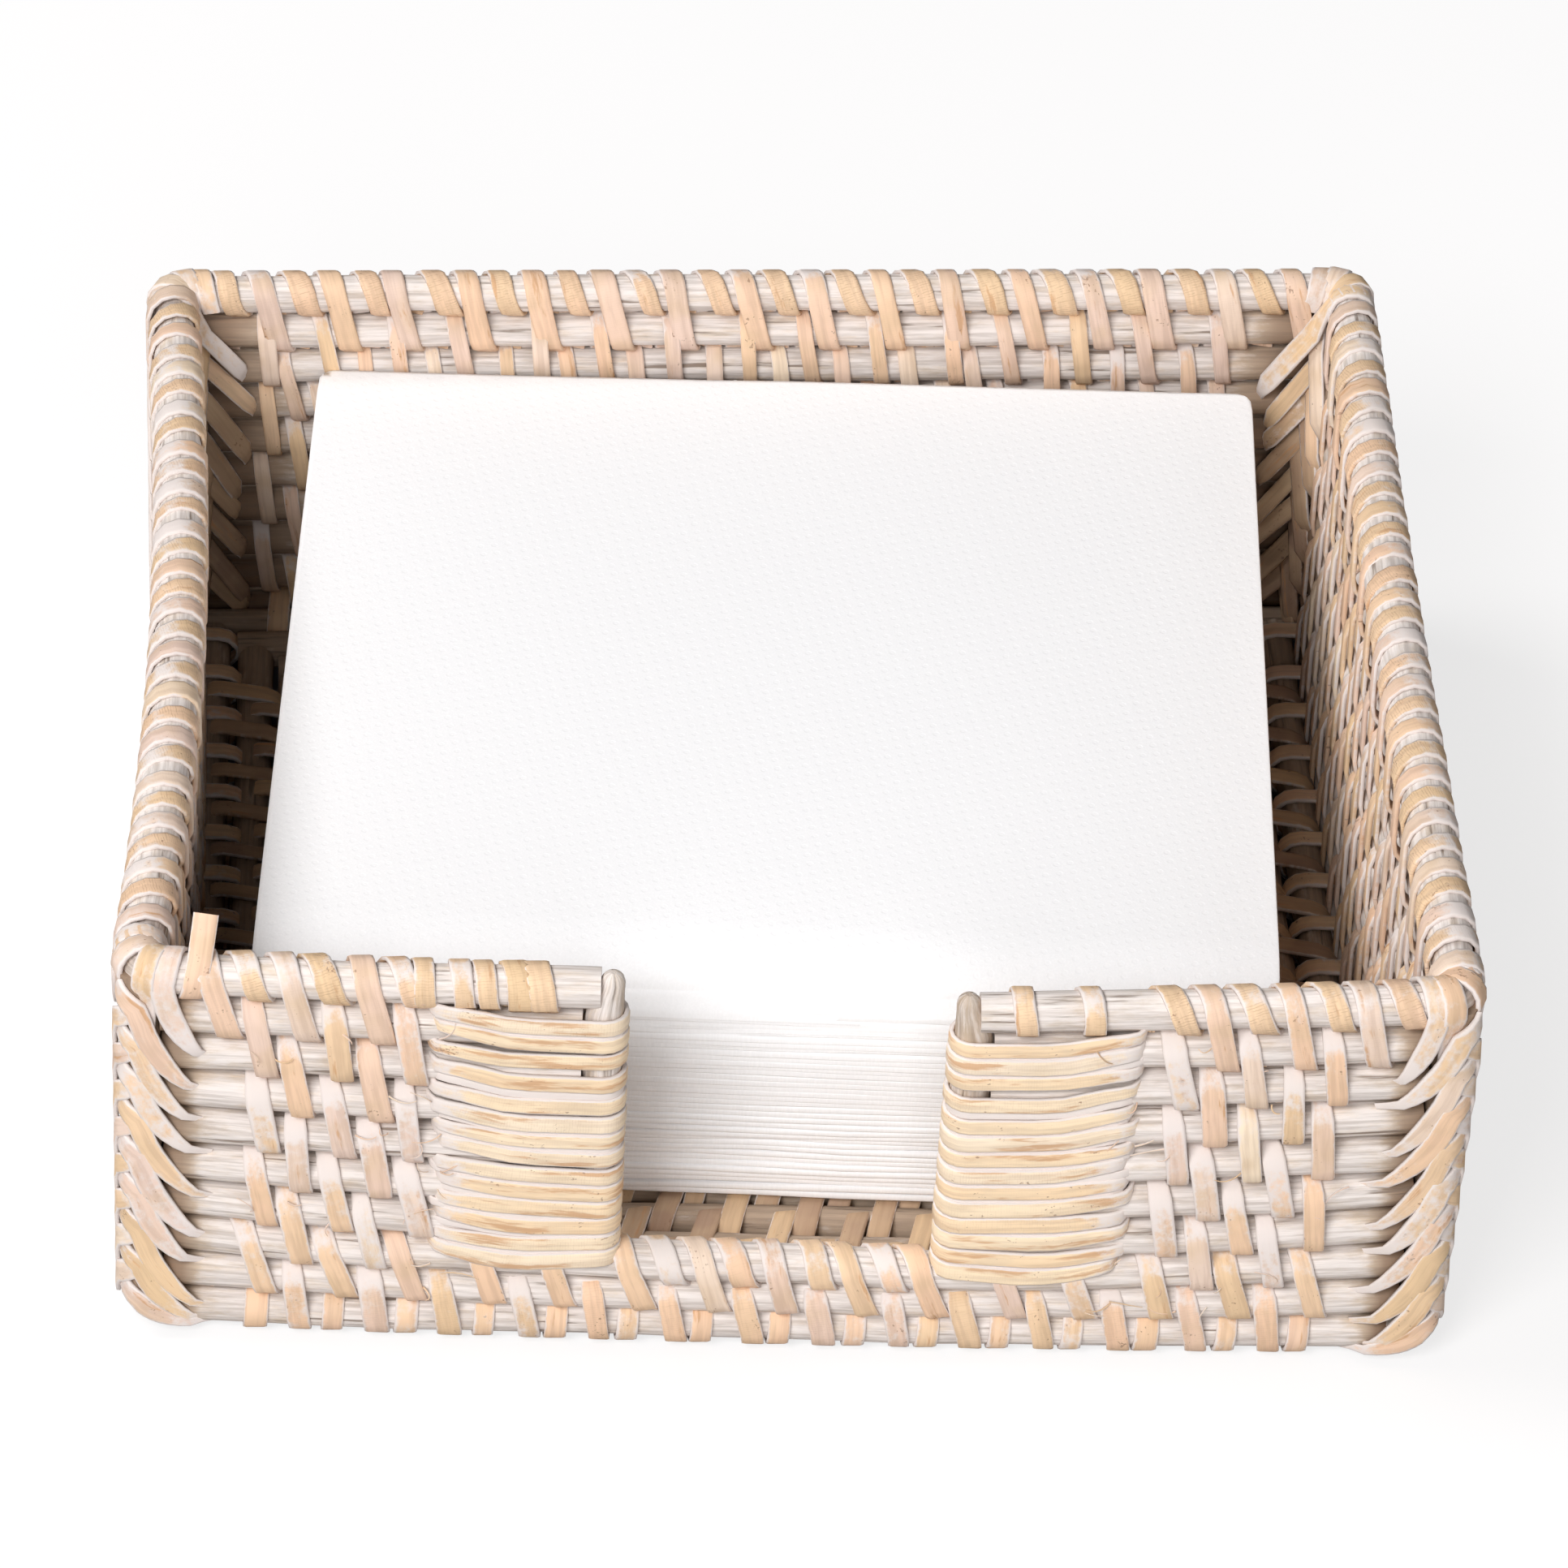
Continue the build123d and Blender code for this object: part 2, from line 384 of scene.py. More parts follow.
@dataclass(frozen=True)
class RodFinish:
    """Whitewashed rattan core: chalk over straw, with grey lengthwise grain."""

    name: str = "whitewashed_cane"
    chalk: Colour = srgb(235, 226, 221)
    straw: Colour = srgb(226, 206, 184)
    # unpainted cane colour, darkened so that it also serves as painted shade in the inner corners and on the
    # floor
    bare_and_shade: Colour = srgb(124, 93, 69)
    groove: Colour = srgb(132, 114, 100)
    wash: float = 0.60
    bare_and_shade_loss: float = 0.5
    patch_scale: float = 420.0
    patch_stretch: Triple = (0.25, 1.0, 1.0)
    drift_scale: float = 90.0
    drift_dark: float = 0.84
    grain_along: float = 55.0
    grain_across: float = 1300.0
    streak_depth: float = 0.42
    pore_depth: float = 0.8
    bump: float = 0.55
    bump_depth: float = 0.25 * MM
    roughness: float = 0.82
    specular: float = 0.25

    def build(self, groups: EffectGroups) -> Material:
        """Wires up the material.

        Args:
            groups: The shared shader groups.

        Returns:
            The material, which reads the rods' own coordinates.
        """
        material, bench, shader = new_material(self.name)
        place = bench.attribute("cane")
        # this attribute is partly real wear and partly painted shade: where it is high the chalk goes and the
        # cane turns dark brown
        bare_and_shade = bench.attribute("bare_and_shade", "Fac")
        wash = bench.sum("SUBTRACT", self.wash, bench.times(bare_and_shade, self.bare_and_shade_loss))
        patches = bench.stretch(place, self.patch_stretch)
        limewash = bench.effect(groups.limewash, Coordinates=patches, Amount=wash, Scale=self.patch_scale)
        lanes = {"Along": self.grain_along, "Across": self.grain_across}
        grain = bench.effect(groups.grain, Coordinates=place, **lanes)
        drift = bench.step(bench.noise(place, self.drift_scale, 2.0), 0.35, 0.65)
        straw = bench.mix(drift, self.straw, tuple(c * self.drift_dark for c in self.straw))
        straw = bench.mix(bare_and_shade, straw, self.bare_and_shade)
        painted = bench.mix(limewash.outputs["Mask"], straw, self.chalk)
        streaks = bench.step(grain.outputs["Streaks"], 0.62, 0.34)
        toned = bench.mix(bench.times(streaks, self.streak_depth), painted, self.groove)
        colour = bench.mix(bench.times(grain.outputs["Pores"], self.pore_depth), toned, self.groove)
        bench.wire(shader, {
            "Base Color": colour,
            "Normal": bench.bump(grain.outputs["Height"], self.bump, self.bump_depth),
            "Roughness": self.roughness,
            "Specular IOR Level": self.specular,
        })
        return material


@dataclass(frozen=True)
class StripFinish:
    """Split cane: a tone for each strip, chalk left in the creases, fibres, cracks and flecks."""

    name: str
    tones: Tones
    stain: Colour
    stain_share: float
    chalk: Colour = srgb(232, 222, 218)
    fleck: Colour = srgb(140, 96, 62)
    crack: Colour = srgb(184, 144, 104)
    drift_scale: float = 260.0
    drift_stretch: Triple = (0.5, 0.5, 1.0)
    drift_dark: float = 0.80
    drift_depth: float = 0.5
    stain_stretch: Triple = (75.0, 420.0, 55.0)
    stain_depth: float = 0.85
    streak_stretch: Triple = (70.0, 900.0, 40.0)
    streak_depth: float = 0.22
    crack_pitch: float = 0.42 * MM
    crack_bend: float = 5.5
    crack_slant: float = 260.0
    crack_depth: float = 0.55
    fleck_scale: float = 1700.0
    fleck_depth: float = 0.7
    edge_scale: float = 510.0
    edge_power: float = 7.0
    edge_chalk: float = 0.5
    patch_scale: float = 520.0
    film: float = 0.12
    cover: float = 0.93
    bump: float = 0.45
    bump_depth: float = 0.16 * MM
    roughness: float = 0.62
    chalk_roughness: float = 0.25
    specular: float = 0.3

    def skin(self, bench: NodeBench, strip: Socket, tone: Socket, streaks: Socket) -> Socket:
        """The cane's own colour, with drifts, stains and fibres.

        Args:
            bench: The material's bench.
            strip: The strip's coordinates.
            tone: The strip's place on the ramp of tones.
            streaks: Noise along the fibres.

        Returns:
            The colour.
        """
        base = bench.ramp(tone, self.tones)
        drift = bench.noise(bench.stretch(strip, self.drift_stretch), self.drift_scale, 2.0)
        darker = tuple(c * self.drift_dark for c in self.tones[1][1])
        base = bench.mix(bench.times(bench.step(drift, 0.40, 0.72), self.drift_depth), base, darker)
        stains = bench.noise(bench.stretch(strip, self.stain_stretch), 1.0, 4.0, 0.62)
        spread = bench.step(stains, 0.66 - 0.22 * self.stain_share, 0.74 - 0.16 * self.stain_share)
        base = bench.mix(bench.times(spread, self.stain_depth), base, self.stain)
        return bench.mix(bench.times(bench.step(streaks, 0.60, 0.36), self.streak_depth), base, self.fleck)

    def cracks(self, bench: NodeBench, strip: Socket, cracked: Socket) -> Socket:
        """Fine broken lines across a strip.

        Args:
            bench: The material's bench.
            strip: The strip's coordinates.
            cracked: How much the strip is cracked.

        Returns:
            A mask of the lines.
        """
        along, across, _ = bench.apart(strip)
        bend = bench.times(bench.noise(strip, 900.0, 2.0), self.crack_bend)
        slant = bench.times(across, self.crack_slant)
        turns = bench.times(along, 2 * math.pi / self.crack_pitch)
        wave = bench.sum("SINE", bench.sum("ADD", bench.sum("ADD", turns, bend), slant))
        gaps = bench.noise(bench.stretch(strip, (1.0, 0.25, 1.0)), 2600.0, 1.0)
        broken = bench.times(bench.step(wave, 0.55, 0.95), bench.step(gaps, 0.40, 0.55))
        return bench.times(broken, cracked)

    def build(self, groups: EffectGroups) -> Material:
        """Wires up the material.

        Args:
            groups: The shared shader groups.

        Returns:
            The material, which reads the strips' own coordinates and paint.
        """
        material, bench, shader = new_material(self.name)
        strip = bench.attribute("strip")
        tone, wash, cracked = bench.apart(bench.attribute("paint"))
        streaks = bench.noise(bench.stretch(strip, self.streak_stretch), 1.0, 3.0, 0.6)
        lines = self.cracks(bench, strip, cracked)
        base = self.skin(bench, strip, tone, streaks)
        base = bench.mix(bench.times(lines, self.crack_depth), base, self.crack)
        flecks = bench.effect(groups.flecks, Coordinates=strip, Scale=self.fleck_scale).outputs["Mask"]
        base = bench.mix(bench.times(flecks, self.fleck_depth), base, self.fleck)
        across = bench.sum("ABSOLUTE", bench.times(bench.apart(strip)[1], self.edge_scale))
        edge = bench.sum("MINIMUM", bench.sum("POWER", across, self.edge_power), 1.0)
        amount = bench.sum("ADD", wash, bench.times(edge, self.edge_chalk))
        limewash = bench.effect(groups.limewash, Coordinates=strip, Amount=amount, Scale=self.patch_scale)
        mask = limewash.outputs["Mask"]
        cover = bench.sum("MULTIPLY_ADD", mask, self.cover - self.film, self.film)
        height = bench.sum("ADD", bench.times(streaks, 0.8), bench.times(mask, 0.35))
        height = bench.sum("SUBTRACT", height, bench.times(lines, 0.5))
        bench.wire(shader, {
            "Base Color": bench.mix(cover, base, self.chalk),
            "Roughness": bench.sum("ADD", self.roughness, bench.times(mask, self.chalk_roughness)),
            "Normal": bench.bump(height, self.bump, self.bump_depth),
            "Specular IOR Level": self.specular,
        })
        return material


@dataclass(frozen=True)
class PaperFinish:
    """Soft white tissue paper with a faint embossed lattice of dots."""

    name: str = "tissue_paper"
    white: Colour = srgb(250, 249, 250)
    dot_pitch: float = 3.2 * MM
    dot_turn: float = math.radians(32)
    dot_height: float = -0.35
    crinkle_scale: float = 300.0
    crinkle_height: float = 0.9
    fibre_scale: float = 2500.0
    fibre_shade: float = 0.965
    bump: float = 0.25
    bump_depth: float = 0.3 * MM
    roughness: float = 0.95
    specular: float = 0.1

    def build(self) -> Material:
        """Wires up the material.

        Returns:
            The material, which reads the napkin's flat coordinates.
        """
        material, bench, shader = new_material(self.name)
        flat = bench.attribute("flat")
        wires = {"Vector": flat, "Rotation": (0.0, 0.0, self.dot_turn)}
        turned = bench.apart(bench.add("ShaderNodeMapping", wires).outputs[0])
        waves = [bench.sum("SINE", bench.times(way, 2 * math.pi / self.dot_pitch)) for way in turned[:2]]
        dots = bench.step(bench.times(*waves), 0.35, 0.85)
        crinkle = bench.noise(flat, self.crinkle_scale, 4.0, 0.6)
        embossed = bench.times(dots, self.dot_height)
        height = bench.sum("ADD", embossed, bench.times(crinkle, self.crinkle_height))
        fibres = bench.step(bench.noise(flat, self.fibre_scale, 2.0), 0.35, 0.75)
        bench.wire(shader, {
            "Base Color": bench.mix(fibres, tuple(c * self.fibre_shade for c in self.white), self.white),
            "Normal": bench.bump(height, self.bump, self.bump_depth),
            "Roughness": self.roughness,
            "Specular IOR Level": self.specular,
        })
        return material


LASHING_TONES = (
    # the darkest stop is painted shade, for the floor strips and the strips deep in the corners
    (0.0, srgb(160, 124, 98)),
    (0.15, srgb(234, 198, 150)),
    (0.35, srgb(240, 204, 164)),
    (0.5, srgb(242, 200, 164)),
    (0.75, srgb(232, 204, 188)),
    (1.0, srgb(247, 225, 196)),
)
BINDING_TONES = (
    (0.0, srgb(250, 217, 174)),
    (0.5, srgb(254, 229, 192)),
    (1.0, srgb(253, 233, 206)),
)


@dataclass(frozen=True)
class Finishes:
    """The materials of the tray."""

    rod: Material
    lashing: Material
    binding: Material
    paper: Material

    @classmethod
    def build(cls) -> "Finishes":
        """Makes every material once.

        Returns:
            The finished materials.
        """
        groups = EffectGroups.build()
        lashing = StripFinish("lashing_cane", LASHING_TONES, srgb(206, 152, 98), 0.2)
        binding = StripFinish(
            "binding_cane", BINDING_TONES, srgb(212, 160, 108), 0.6, edge_chalk=0.8, roughness=0.55)
        return cls(
            rod=RodFinish().build(groups),
            lashing=lashing.build(groups),
            binding=binding.build(groups),
            paper=PaperFinish().build(),
        )


# Geometry node trees that turn guide lines into cane


STRIP_CORNERS = 8
STRIP_ACROSS = 4.0 * MM


def finish_tree(bench: GroupBench, shape: Socket, attribute: str, value: Socket) -> GroupBench:
    """Ends a tree: keeps a vector attribute, smooths, realizes and sets the material.

    Args:
        bench: The tree.
        shape: The geometry so far.
        attribute: Name of the vector attribute that the finish reads.
        value: Its value.

    Returns:
        The finished tree's bench.
    """
    material = bench.take("Material", "NodeSocketMaterial")
    wires = {"Geometry": shape, "Name": attribute, "Value": value}
    kept = bench.add("GeometryNodeStoreNamedAttribute", wires, data_type="FLOAT_VECTOR")
    soft = bench.add("GeometryNodeSetShadeSmooth", {"Geometry": kept.outputs[0]})
    real = bench.add("GeometryNodeRealizeInstances", {0: soft.outputs[0]})
    dressed = bench.add("GeometryNodeSetMaterial", {"Geometry": real.outputs[0], "Material": material})
    bench.give("Geometry", GEOMETRY, dressed.outputs[0])
    return bench


def captured(bench: GroupBench, shape: Socket, value: Socket) -> tuple[Socket, Socket]:
    """Keeps a vector on a curve's points.

    Args:
        bench: The tree.
        shape: The curve.
        value: The vector.

    Returns:
        The curve and the kept vector.
    """
    node = bench.add("GeometryNodeCaptureAttribute", {0: shape})
    node.capture_items.new("VECTOR", "Kept")
    bench.tree.links.new(value, node.inputs[1])
    return node.outputs[0], node.outputs[1]


def swept(bench: GroupBench, line: Socket, ring: Socket, scale: Socket) -> Socket:
    """A section swept along lines, with closed ends."""
    wires = {"Curve": line, "Profile Curve": ring, "Scale": scale, "Fill Caps": True}
    return bench.add("GeometryNodeCurveToMesh", wires).outputs[0]


def rod_tree() -> GroupBench:
    """Round cane along guide lines, a little lumpy, with its own coordinates for the grain.

    Returns:
        The tree's bench.
    """
    bench = GroupBench("cane_rods", "GeometryNodeTree")
    guide = bench.take("Geometry", GEOMETRY)
    radius = bench.take("Radius", FLOAT, 3.1 * MM)
    sides = bench.take("Sides", "NodeSocketInt", 16)
    lump = bench.take("Lump", FLOAT, 0.12 * MM)
    lump_size = bench.take("Lump Size", FLOAT, 9.0 * MM)
    seed = bench.take("Seed", FLOAT, 1.0)
    line = bench.add("GeometryNodeMeshToCurve", {0: guide}).outputs[0]
    ring = bench.add("GeometryNodeCurvePrimitiveCircle", {"Resolution": sides, "Radius": radius}).outputs[0]
    place = bench.add("GeometryNodeInputPosition").outputs[0]
    ring, around = captured(bench, ring, place)
    tube = swept(bench, line, ring, bench.named("girth"))
    wires = {"Vector": place, "W": seed, "Scale": bench.sum("DIVIDE", 1.0, lump_size), "Detail": 2.0}
    noise = bench.add("ShaderNodeTexNoise", wires, noise_dimensions="4D").outputs[0]
    swell = bench.times(bench.sum("SUBTRACT", noise, 0.5), bench.times(lump, 2.0))
    normal = bench.add("GeometryNodeInputNormal").outputs[0]
    push = bench.add("ShaderNodeVectorMath", {0: normal, "Scale": swell}, operation="SCALE").outputs[0]
    lumpy = bench.add("GeometryNodeSetPosition", {"Geometry": tube, "Offset": push}).outputs[0]
    cane = bench.joined(bench.named("run"), *bench.apart(around)[:2])
    return finish_tree(bench, lumpy, "cane", cane)


def strip_tree() -> GroupBench:
    """Flat split cane along guide lines, lying on the side that each guide point names.

    Returns:
        The tree's bench.
    """
    bench = GroupBench("split_cane", "GeometryNodeTree")
    guide = bench.take("Geometry", GEOMETRY)
    flatness = bench.take("Thickness Share", FLOAT, 0.21)
    square = bench.take("Squareness", FLOAT, 0.35)
    line = bench.add("GeometryNodeMeshToCurve", {0: guide}).outputs[0]
    lie = bench.named("lie", "FLOAT_VECTOR")
    line = bench.add("GeometryNodeSetCurveNormal", {"Curve": line, "Normal": lie}, mode="FREE").outputs[0]
    wires = {"Resolution": STRIP_CORNERS, "Radius": 1.0}
    ring = bench.add("GeometryNodeCurvePrimitiveCircle", wires).outputs[0]
    place = bench.add("GeometryNodeInputPosition").outputs[0]
    wires = {"Vector": place, "Angle": math.pi / STRIP_CORNERS}
    turn = bench.add("ShaderNodeVectorRotate", wires, rotation_type="Z_AXIS").outputs[0]
    halves = []
    for way in bench.apart(turn)[:2]:
        size = bench.sum("POWER", bench.sum("ABSOLUTE", way), square)
        halves.append(bench.times(bench.times(bench.sum("SIGN", way), size), 0.5))
    outline = bench.joined(bench.times(halves[0], flatness), halves[1])
    ring = bench.add("GeometryNodeSetPosition", {"Geometry": ring, "Position": outline}).outputs[0]
    ring, across = captured(bench, ring, place)
    band = swept(bench, line, ring, bench.named("wide"))
    run, _, lane = bench.apart(bench.named("strip", "FLOAT_VECTOR"))
    side = bench.times(bench.apart(across)[1], STRIP_ACROSS)
    return finish_tree(bench, band, "strip", bench.joined(run, side, lane))


def guide_mesh(name: str, lines: list[Array], values: dict[str, Array]) -> bpy.types.Mesh:
    """A mesh of separate polylines with attributes on its points.

    Args:
        name: Name of the mesh.
        lines: The points of each line.
        values: For each attribute, one number or vector for each point of all lines in turn.

    Returns:
        The guide mesh.
    """
    points = np.concatenate(lines)
    edges = []
    start = 0
    for line in lines:
        edges.extend((start + i, start + i + 1) for i in range(len(line) - 1))
        start += len(line)
    mesh = bpy.data.meshes.new(name)
    mesh.from_pydata(points.tolist(), edges, [])
    for key, data in values.items():
        vectors = data.ndim == 2
        attribute = mesh.attributes.new(key, "FLOAT_VECTOR" if vectors else "FLOAT", "POINT")
        attribute.data.foreach_set("vector" if vectors else "value", data.astype(np.float32).ravel())
    return mesh


def add_piece(name: str, mesh: bpy.types.Mesh) -> Piece:
    """Puts a mesh into the scene.

    Args:
        name: Name of the piece.
        mesh: The mesh, with its place in it.

    Returns:
        The piece, at the origin.
    """
    piece = bpy.data.objects.new(name, mesh)
    bpy.context.scene.collection.objects.link(piece)
    return piece


def grown(name: str, guide: bpy.types.Mesh, tree: GroupBench, values: dict[str, object]) -> Piece:
    """Runs a geometry node tree on a guide and keeps what it makes as a plain mesh.

    Args:
        name: Name of the piece.
        guide: The guide lines.
        tree: The tree.
        values: The tree's inputs by name.

    Returns:
        The piece, with no modifier.
    """
    holder = add_piece(name + "_guide", guide)
    modifier = holder.modifiers.new("grow", "NODES")
    modifier.node_group = tree.tree
    for key, value in values.items():
        modifier[tree.identifiers[key]] = value
    depsgraph = bpy.context.evaluated_depsgraph_get()
    made = holder.evaluated_get(depsgraph)
    mesh = bpy.data.meshes.new_from_object(made, preserve_all_data_layers=True, depsgraph=depsgraph)
    mesh.name = name
    bpy.data.objects.remove(holder)
    return add_piece(name, mesh)


def settle(piece: Piece, body: str, slot: str, *nodes: str) -> None:
    """Lets a piece ride on its body, hides the CAD nodes that it stands for and reports it.

    Args:
        piece: The piece.
        body: The CAD body that it moves with.
        slot: The record's material slot. Not used.
        *nodes: The CAD nodes that it stands for.
    """
    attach(piece, body)
    if nodes:
        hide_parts(*nodes)
    LOG.info("%s: %d faces on %s", piece.name, len(piece.data.polygons), body)


@dataclass(frozen=True)
class Stock:
    """Cane that the tray's pieces are made of: its tree, its finish and the record's slot for that."""

    tree: GroupBench
    material: Material
    slot: str

    def make(self, name: str, guide: bpy.types.Mesh, values: dict[str, object], *nodes: str) -> Piece:
        """Makes a piece of the tray.

        Args:
            name: Name of the piece.
            guide: Its guide lines.
            values: The tree's inputs by name.
            *nodes: The CAD nodes that it stands for.

        Returns:
            The piece.
        """
        piece = grown(name, guide, self.tree, {**values, "Material": self.material})
        settle(piece, "tray", self.slot, *nodes)
        return piece


# The tray's frame


class Side(Enum):
    """The four walls, each with the way it faces."""

    FRONT = (0, -1)
    BACK = (0, 1)
    LEFT = (-1, 0)
    RIGHT = (1, 0)

    @property
    def label(self) -> str:
        """The wall's name in CAD nodes."""
        return self.name.lower()

    @property
    def out(self) -> Array:
        """The outward direction."""
        return np.array((*self.value, 0.0))

    @property
    def along(self) -> Array:
        """The direction to the right for someone who looks at the wall from outside."""
        return np.cross(-self.out, UP)


@dataclass(frozen=True)
class TraySizes:
    """Sizes that the pieces share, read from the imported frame, in metres."""

    rod_radius: float
    course_z: tuple[float, ...]
    wall_x: float
    wall_y: float
    rod_end_x: float
    rod_end_y: float
    notch_half: float
    notch_post_x: float
    stub_end_x: float
    band_end_x: float
    lash_reach: float
    sill: int = 8

    @classmethod
    def from_frame(cls) -> "TraySizes":
        """Reads the sizes from the boxes of the CAD nodes.

        Returns:
            The sizes.
        """
        count = sum(name.startswith("back_rod_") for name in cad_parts)
        centres = [middle_and_half(f"back_rod_{k:02d}") for k in range(1, count + 1)]
        right, right_half = middle_and_half("right_rod_01")
        post, post_half = middle_and_half("notch_post_right")
        band_low, band_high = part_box("notch_binding_right")
        return cls(
            rod_radius=centres[0][1].z,
            course_z=tuple(c.z for c, _ in centres),
            wall_x=right.x,
            wall_y=centres[0][0].y,
            rod_end_x=centres[0][1].x,
            rod_end_y=right_half.y,
            notch_half=band_low.x,
            notch_post_x=post.x,
            stub_end_x=post.x + post_half.x,
            band_end_x=band_high.x,
            lash_reach=-band_low.y - centres[0][0].y,
        )

    def z(self, course: int) -> float:
        """Height of a course's centre line, with the rim as course 1."""
        return self.course_z[course - 1]

    @property
    def pitch(self) -> float:
        """Height of one course."""
        return self.z(1) - self.z(2)


@dataclass(frozen=True)
class HandSkew:
    """How the woven tray stands a little out of square: longer on its right side, which leans outward."""

    spread: float = 0.266
    lean: float = 0.0296
    half_height: float = 36.4 * MM
    half_width: float = 0.1

    def moved(self, points: Array) -> Array:
        """Moves places on the square tray to where they are on the woven one.

        Args:
            points: Rows of places.

        Returns:
            The moved rows.
        """
        x, y, z = points.T
        right = smooth(-self.half_width, self.half_width, x)
        shift = self.lean * (right * (z - self.half_height) + (1 - right) * self.half_height)
        return np.column_stack((x + shift, y * (1 + self.spread * x), z))


SKEW = HandSkew()
SIDE_WALLS = (Side.LEFT, Side.RIGHT)
BOW = {Side.FRONT: 1.6 * MM, Side.BACK: 0.0, Side.LEFT: -3.4 * MM, Side.RIGHT: -0.7 * MM}
LOW_SAG = 3.1 * MM
LOW_SAG_RISE = (0.0, 0.2)
LOW_SAG_FADE = (0.3, 1.0)
RIGHT_SAG = 2.8 * MM
RIGHT_SAG_RISE = (0.0, 0.25)
NOTCH_SHIFT = -1.5 * MM


@dataclass(frozen=True)
class WallPlane:
    """A wall's own coordinates: along it, out of it and up."""

    side: Side
    sizes: TraySizes

    @property
    def half_length(self) -> float:
        """Half the length of the wall's rods."""
        return self.sizes.rod_end_x if self.side.value[0] == 0 else self.sizes.rod_end_y

    def points(self, along: Array, out: Array, up: Array) -> Array:
        """Places in the tray for places on the wall.

        Args:
            along: Distances from the wall's middle.
            out: Distances out from its rods' centres.
            up: Heights.

        Returns:
            Rows of places, with the wall's bow and sag.
        """
        offset = self.sizes.wall_y if self.side.value[0] == 0 else self.sizes.wall_x
        bow = BOW[self.side] * np.clip(1 - (np.asarray(along) / self.half_length) ** 2, 0, 1)
        return self.vectors(along, np.asarray(out) + offset + bow, np.asarray(up) - self.sag(along, up))

    def sag(self, along: Array, up: Array) -> Array:
        """How far the front wall's courses droop, most of all under the notch and on its right.

        Args:
            along: Distances from the wall's middle.
            up: Heights.

        Returns:
            The droop at each place.
        """
        if self.side is not Side.FRONT:
            return np.zeros(1)
        low, high = self.sizes.course_z[-1], self.sizes.course_z[0]
        place = np.asarray(along) / self.half_length
        height = np.clip((np.asarray(up) - low) / (high - low), 0, 1)
        middle = np.clip(1 - place ** 2, 0, 1)
        fade = 1 - smooth(*LOW_SAG_FADE, height)
        under = LOW_SAG * middle * smooth(*LOW_SAG_RISE, height) * fade
        return under + RIGHT_SAG * middle * smooth(*RIGHT_SAG_RISE, place) * height

    def vectors(self, along: Array, out: Array, up: Array) -> Array:
        """Directions in the tray for directions on the wall."""
        along, out, up = np.broadcast_arrays(along, out, up)
        return along[:, None] * self.side.along + out[:, None] * self.side.out + up[:, None] * UP


# Guide lines for split cane


@dataclass
class StripPath:
    """One strip: its middle line, the side it lies on, its width and its paint."""

    points: Array
    lie: Array
    width: Array
    tone: float
    wash: Array
    crack: float = 0.0


@dataclass
class StripBundle:
    """Strips that become one piece."""

    name: str
    seed: int
    thickness: float = 0.8 * MM
    grain_room: float = 3.0
    strips: list[StripPath] = field(default_factory=list)

    def __post_init__(self) -> None:
        """Starts the random source that the strips are drawn with."""
        self.rng = np.random.default_rng(self.seed)

    def lay(self, stock: Stock, *nodes: str) -> None:
        """Sweeps the strips into one piece of the tray.

        Args:
            stock: The split cane.
            *nodes: The CAD nodes that the piece stands for.
        """
        rng = np.random.default_rng(self.seed)
        runs, paints = [], []
        for strip in self.strips:
            run = run_along(strip.points)
            start, lane = rng.uniform(0, self.grain_room, 2)
            runs.append(np.column_stack((run + start, np.zeros_like(run), np.full_like(run, lane))))
            tone, crack = np.full_like(run, strip.tone), np.full_like(run, strip.crack)
            paints.append(np.column_stack((tone, strip.wash, crack)))
        widths = np.concatenate([strip.width for strip in self.strips])
        values = {
            "lie": np.concatenate([strip.lie for strip in self.strips]),
            "wide": widths,
            "strip": np.concatenate(runs),
            "paint": np.concatenate(paints),
        }
        guide = guide_mesh(self.name, [SKEW.moved(strip.points) for strip in self.strips], values)
        share = self.thickness / float(np.median(widths))
        stock.make(self.name, guide, {"Thickness Share": share}, *nodes)


class Seam(Enum):
    """Where a lashed loop starts and ends, out of sight."""

    TOP = 0.0
    BOTTOM = 0.5


@dataclass(frozen=True)
class LoopOutline:
    """Section of a strip that goes round one rod, or two rods with their centres a height apart."""

    reach: float
    height: float
    seam: Seam
    arc_steps: int = 3

    def rows(self) -> Array:
        """The loop from its seam, outwards and down.

        Returns:
            Rows of out, up, the normal's out and up, and the share of the loop from its top.
        """
        quarter = np.linspace(90, 0, self.arc_steps + 1)
        under = np.linspace(0, -180, 2 * self.arc_steps + 1)
        back = np.linspace(180, 90, self.arc_steps + 1)
        half = self.height / 2
        spans = [(quarter, half), (under, -half), (back, half)]
        if self.height == 0:
            spans = [(np.concatenate((quarter, under[1:], back[1:])), 0.0)]
        rows = []
        for angles, centre in spans:
            turn = np.radians(angles)
            out, up = np.cos(turn), np.sin(turn)
            rows.append(np.column_stack((out * self.reach, up * self.reach + centre, out, up)))
        table = np.concatenate(rows)
        run = run_along(table[:, :2])
        share = run / run[-1]
        table = np.column_stack((table, share))
        if self.seam is Seam.BOTTOM:
            cut = int(np.argmin(np.abs(share - self.seam.value)))
            later = table[1:cut + 1].copy()
            later[:, 4] += 1.0
            table = np.concatenate((table[cut:], later))
            table[:, 4] -= 1.0
        return table


OUTER_RUN = 0.25


@dataclass(frozen=True)
class StripLook:
    """Tones, chalk and leans that strips of one kind are picked from, and how cracked they are."""

    tones: Options
    wash: Options
    leans: Options
    crack: float = 0.0


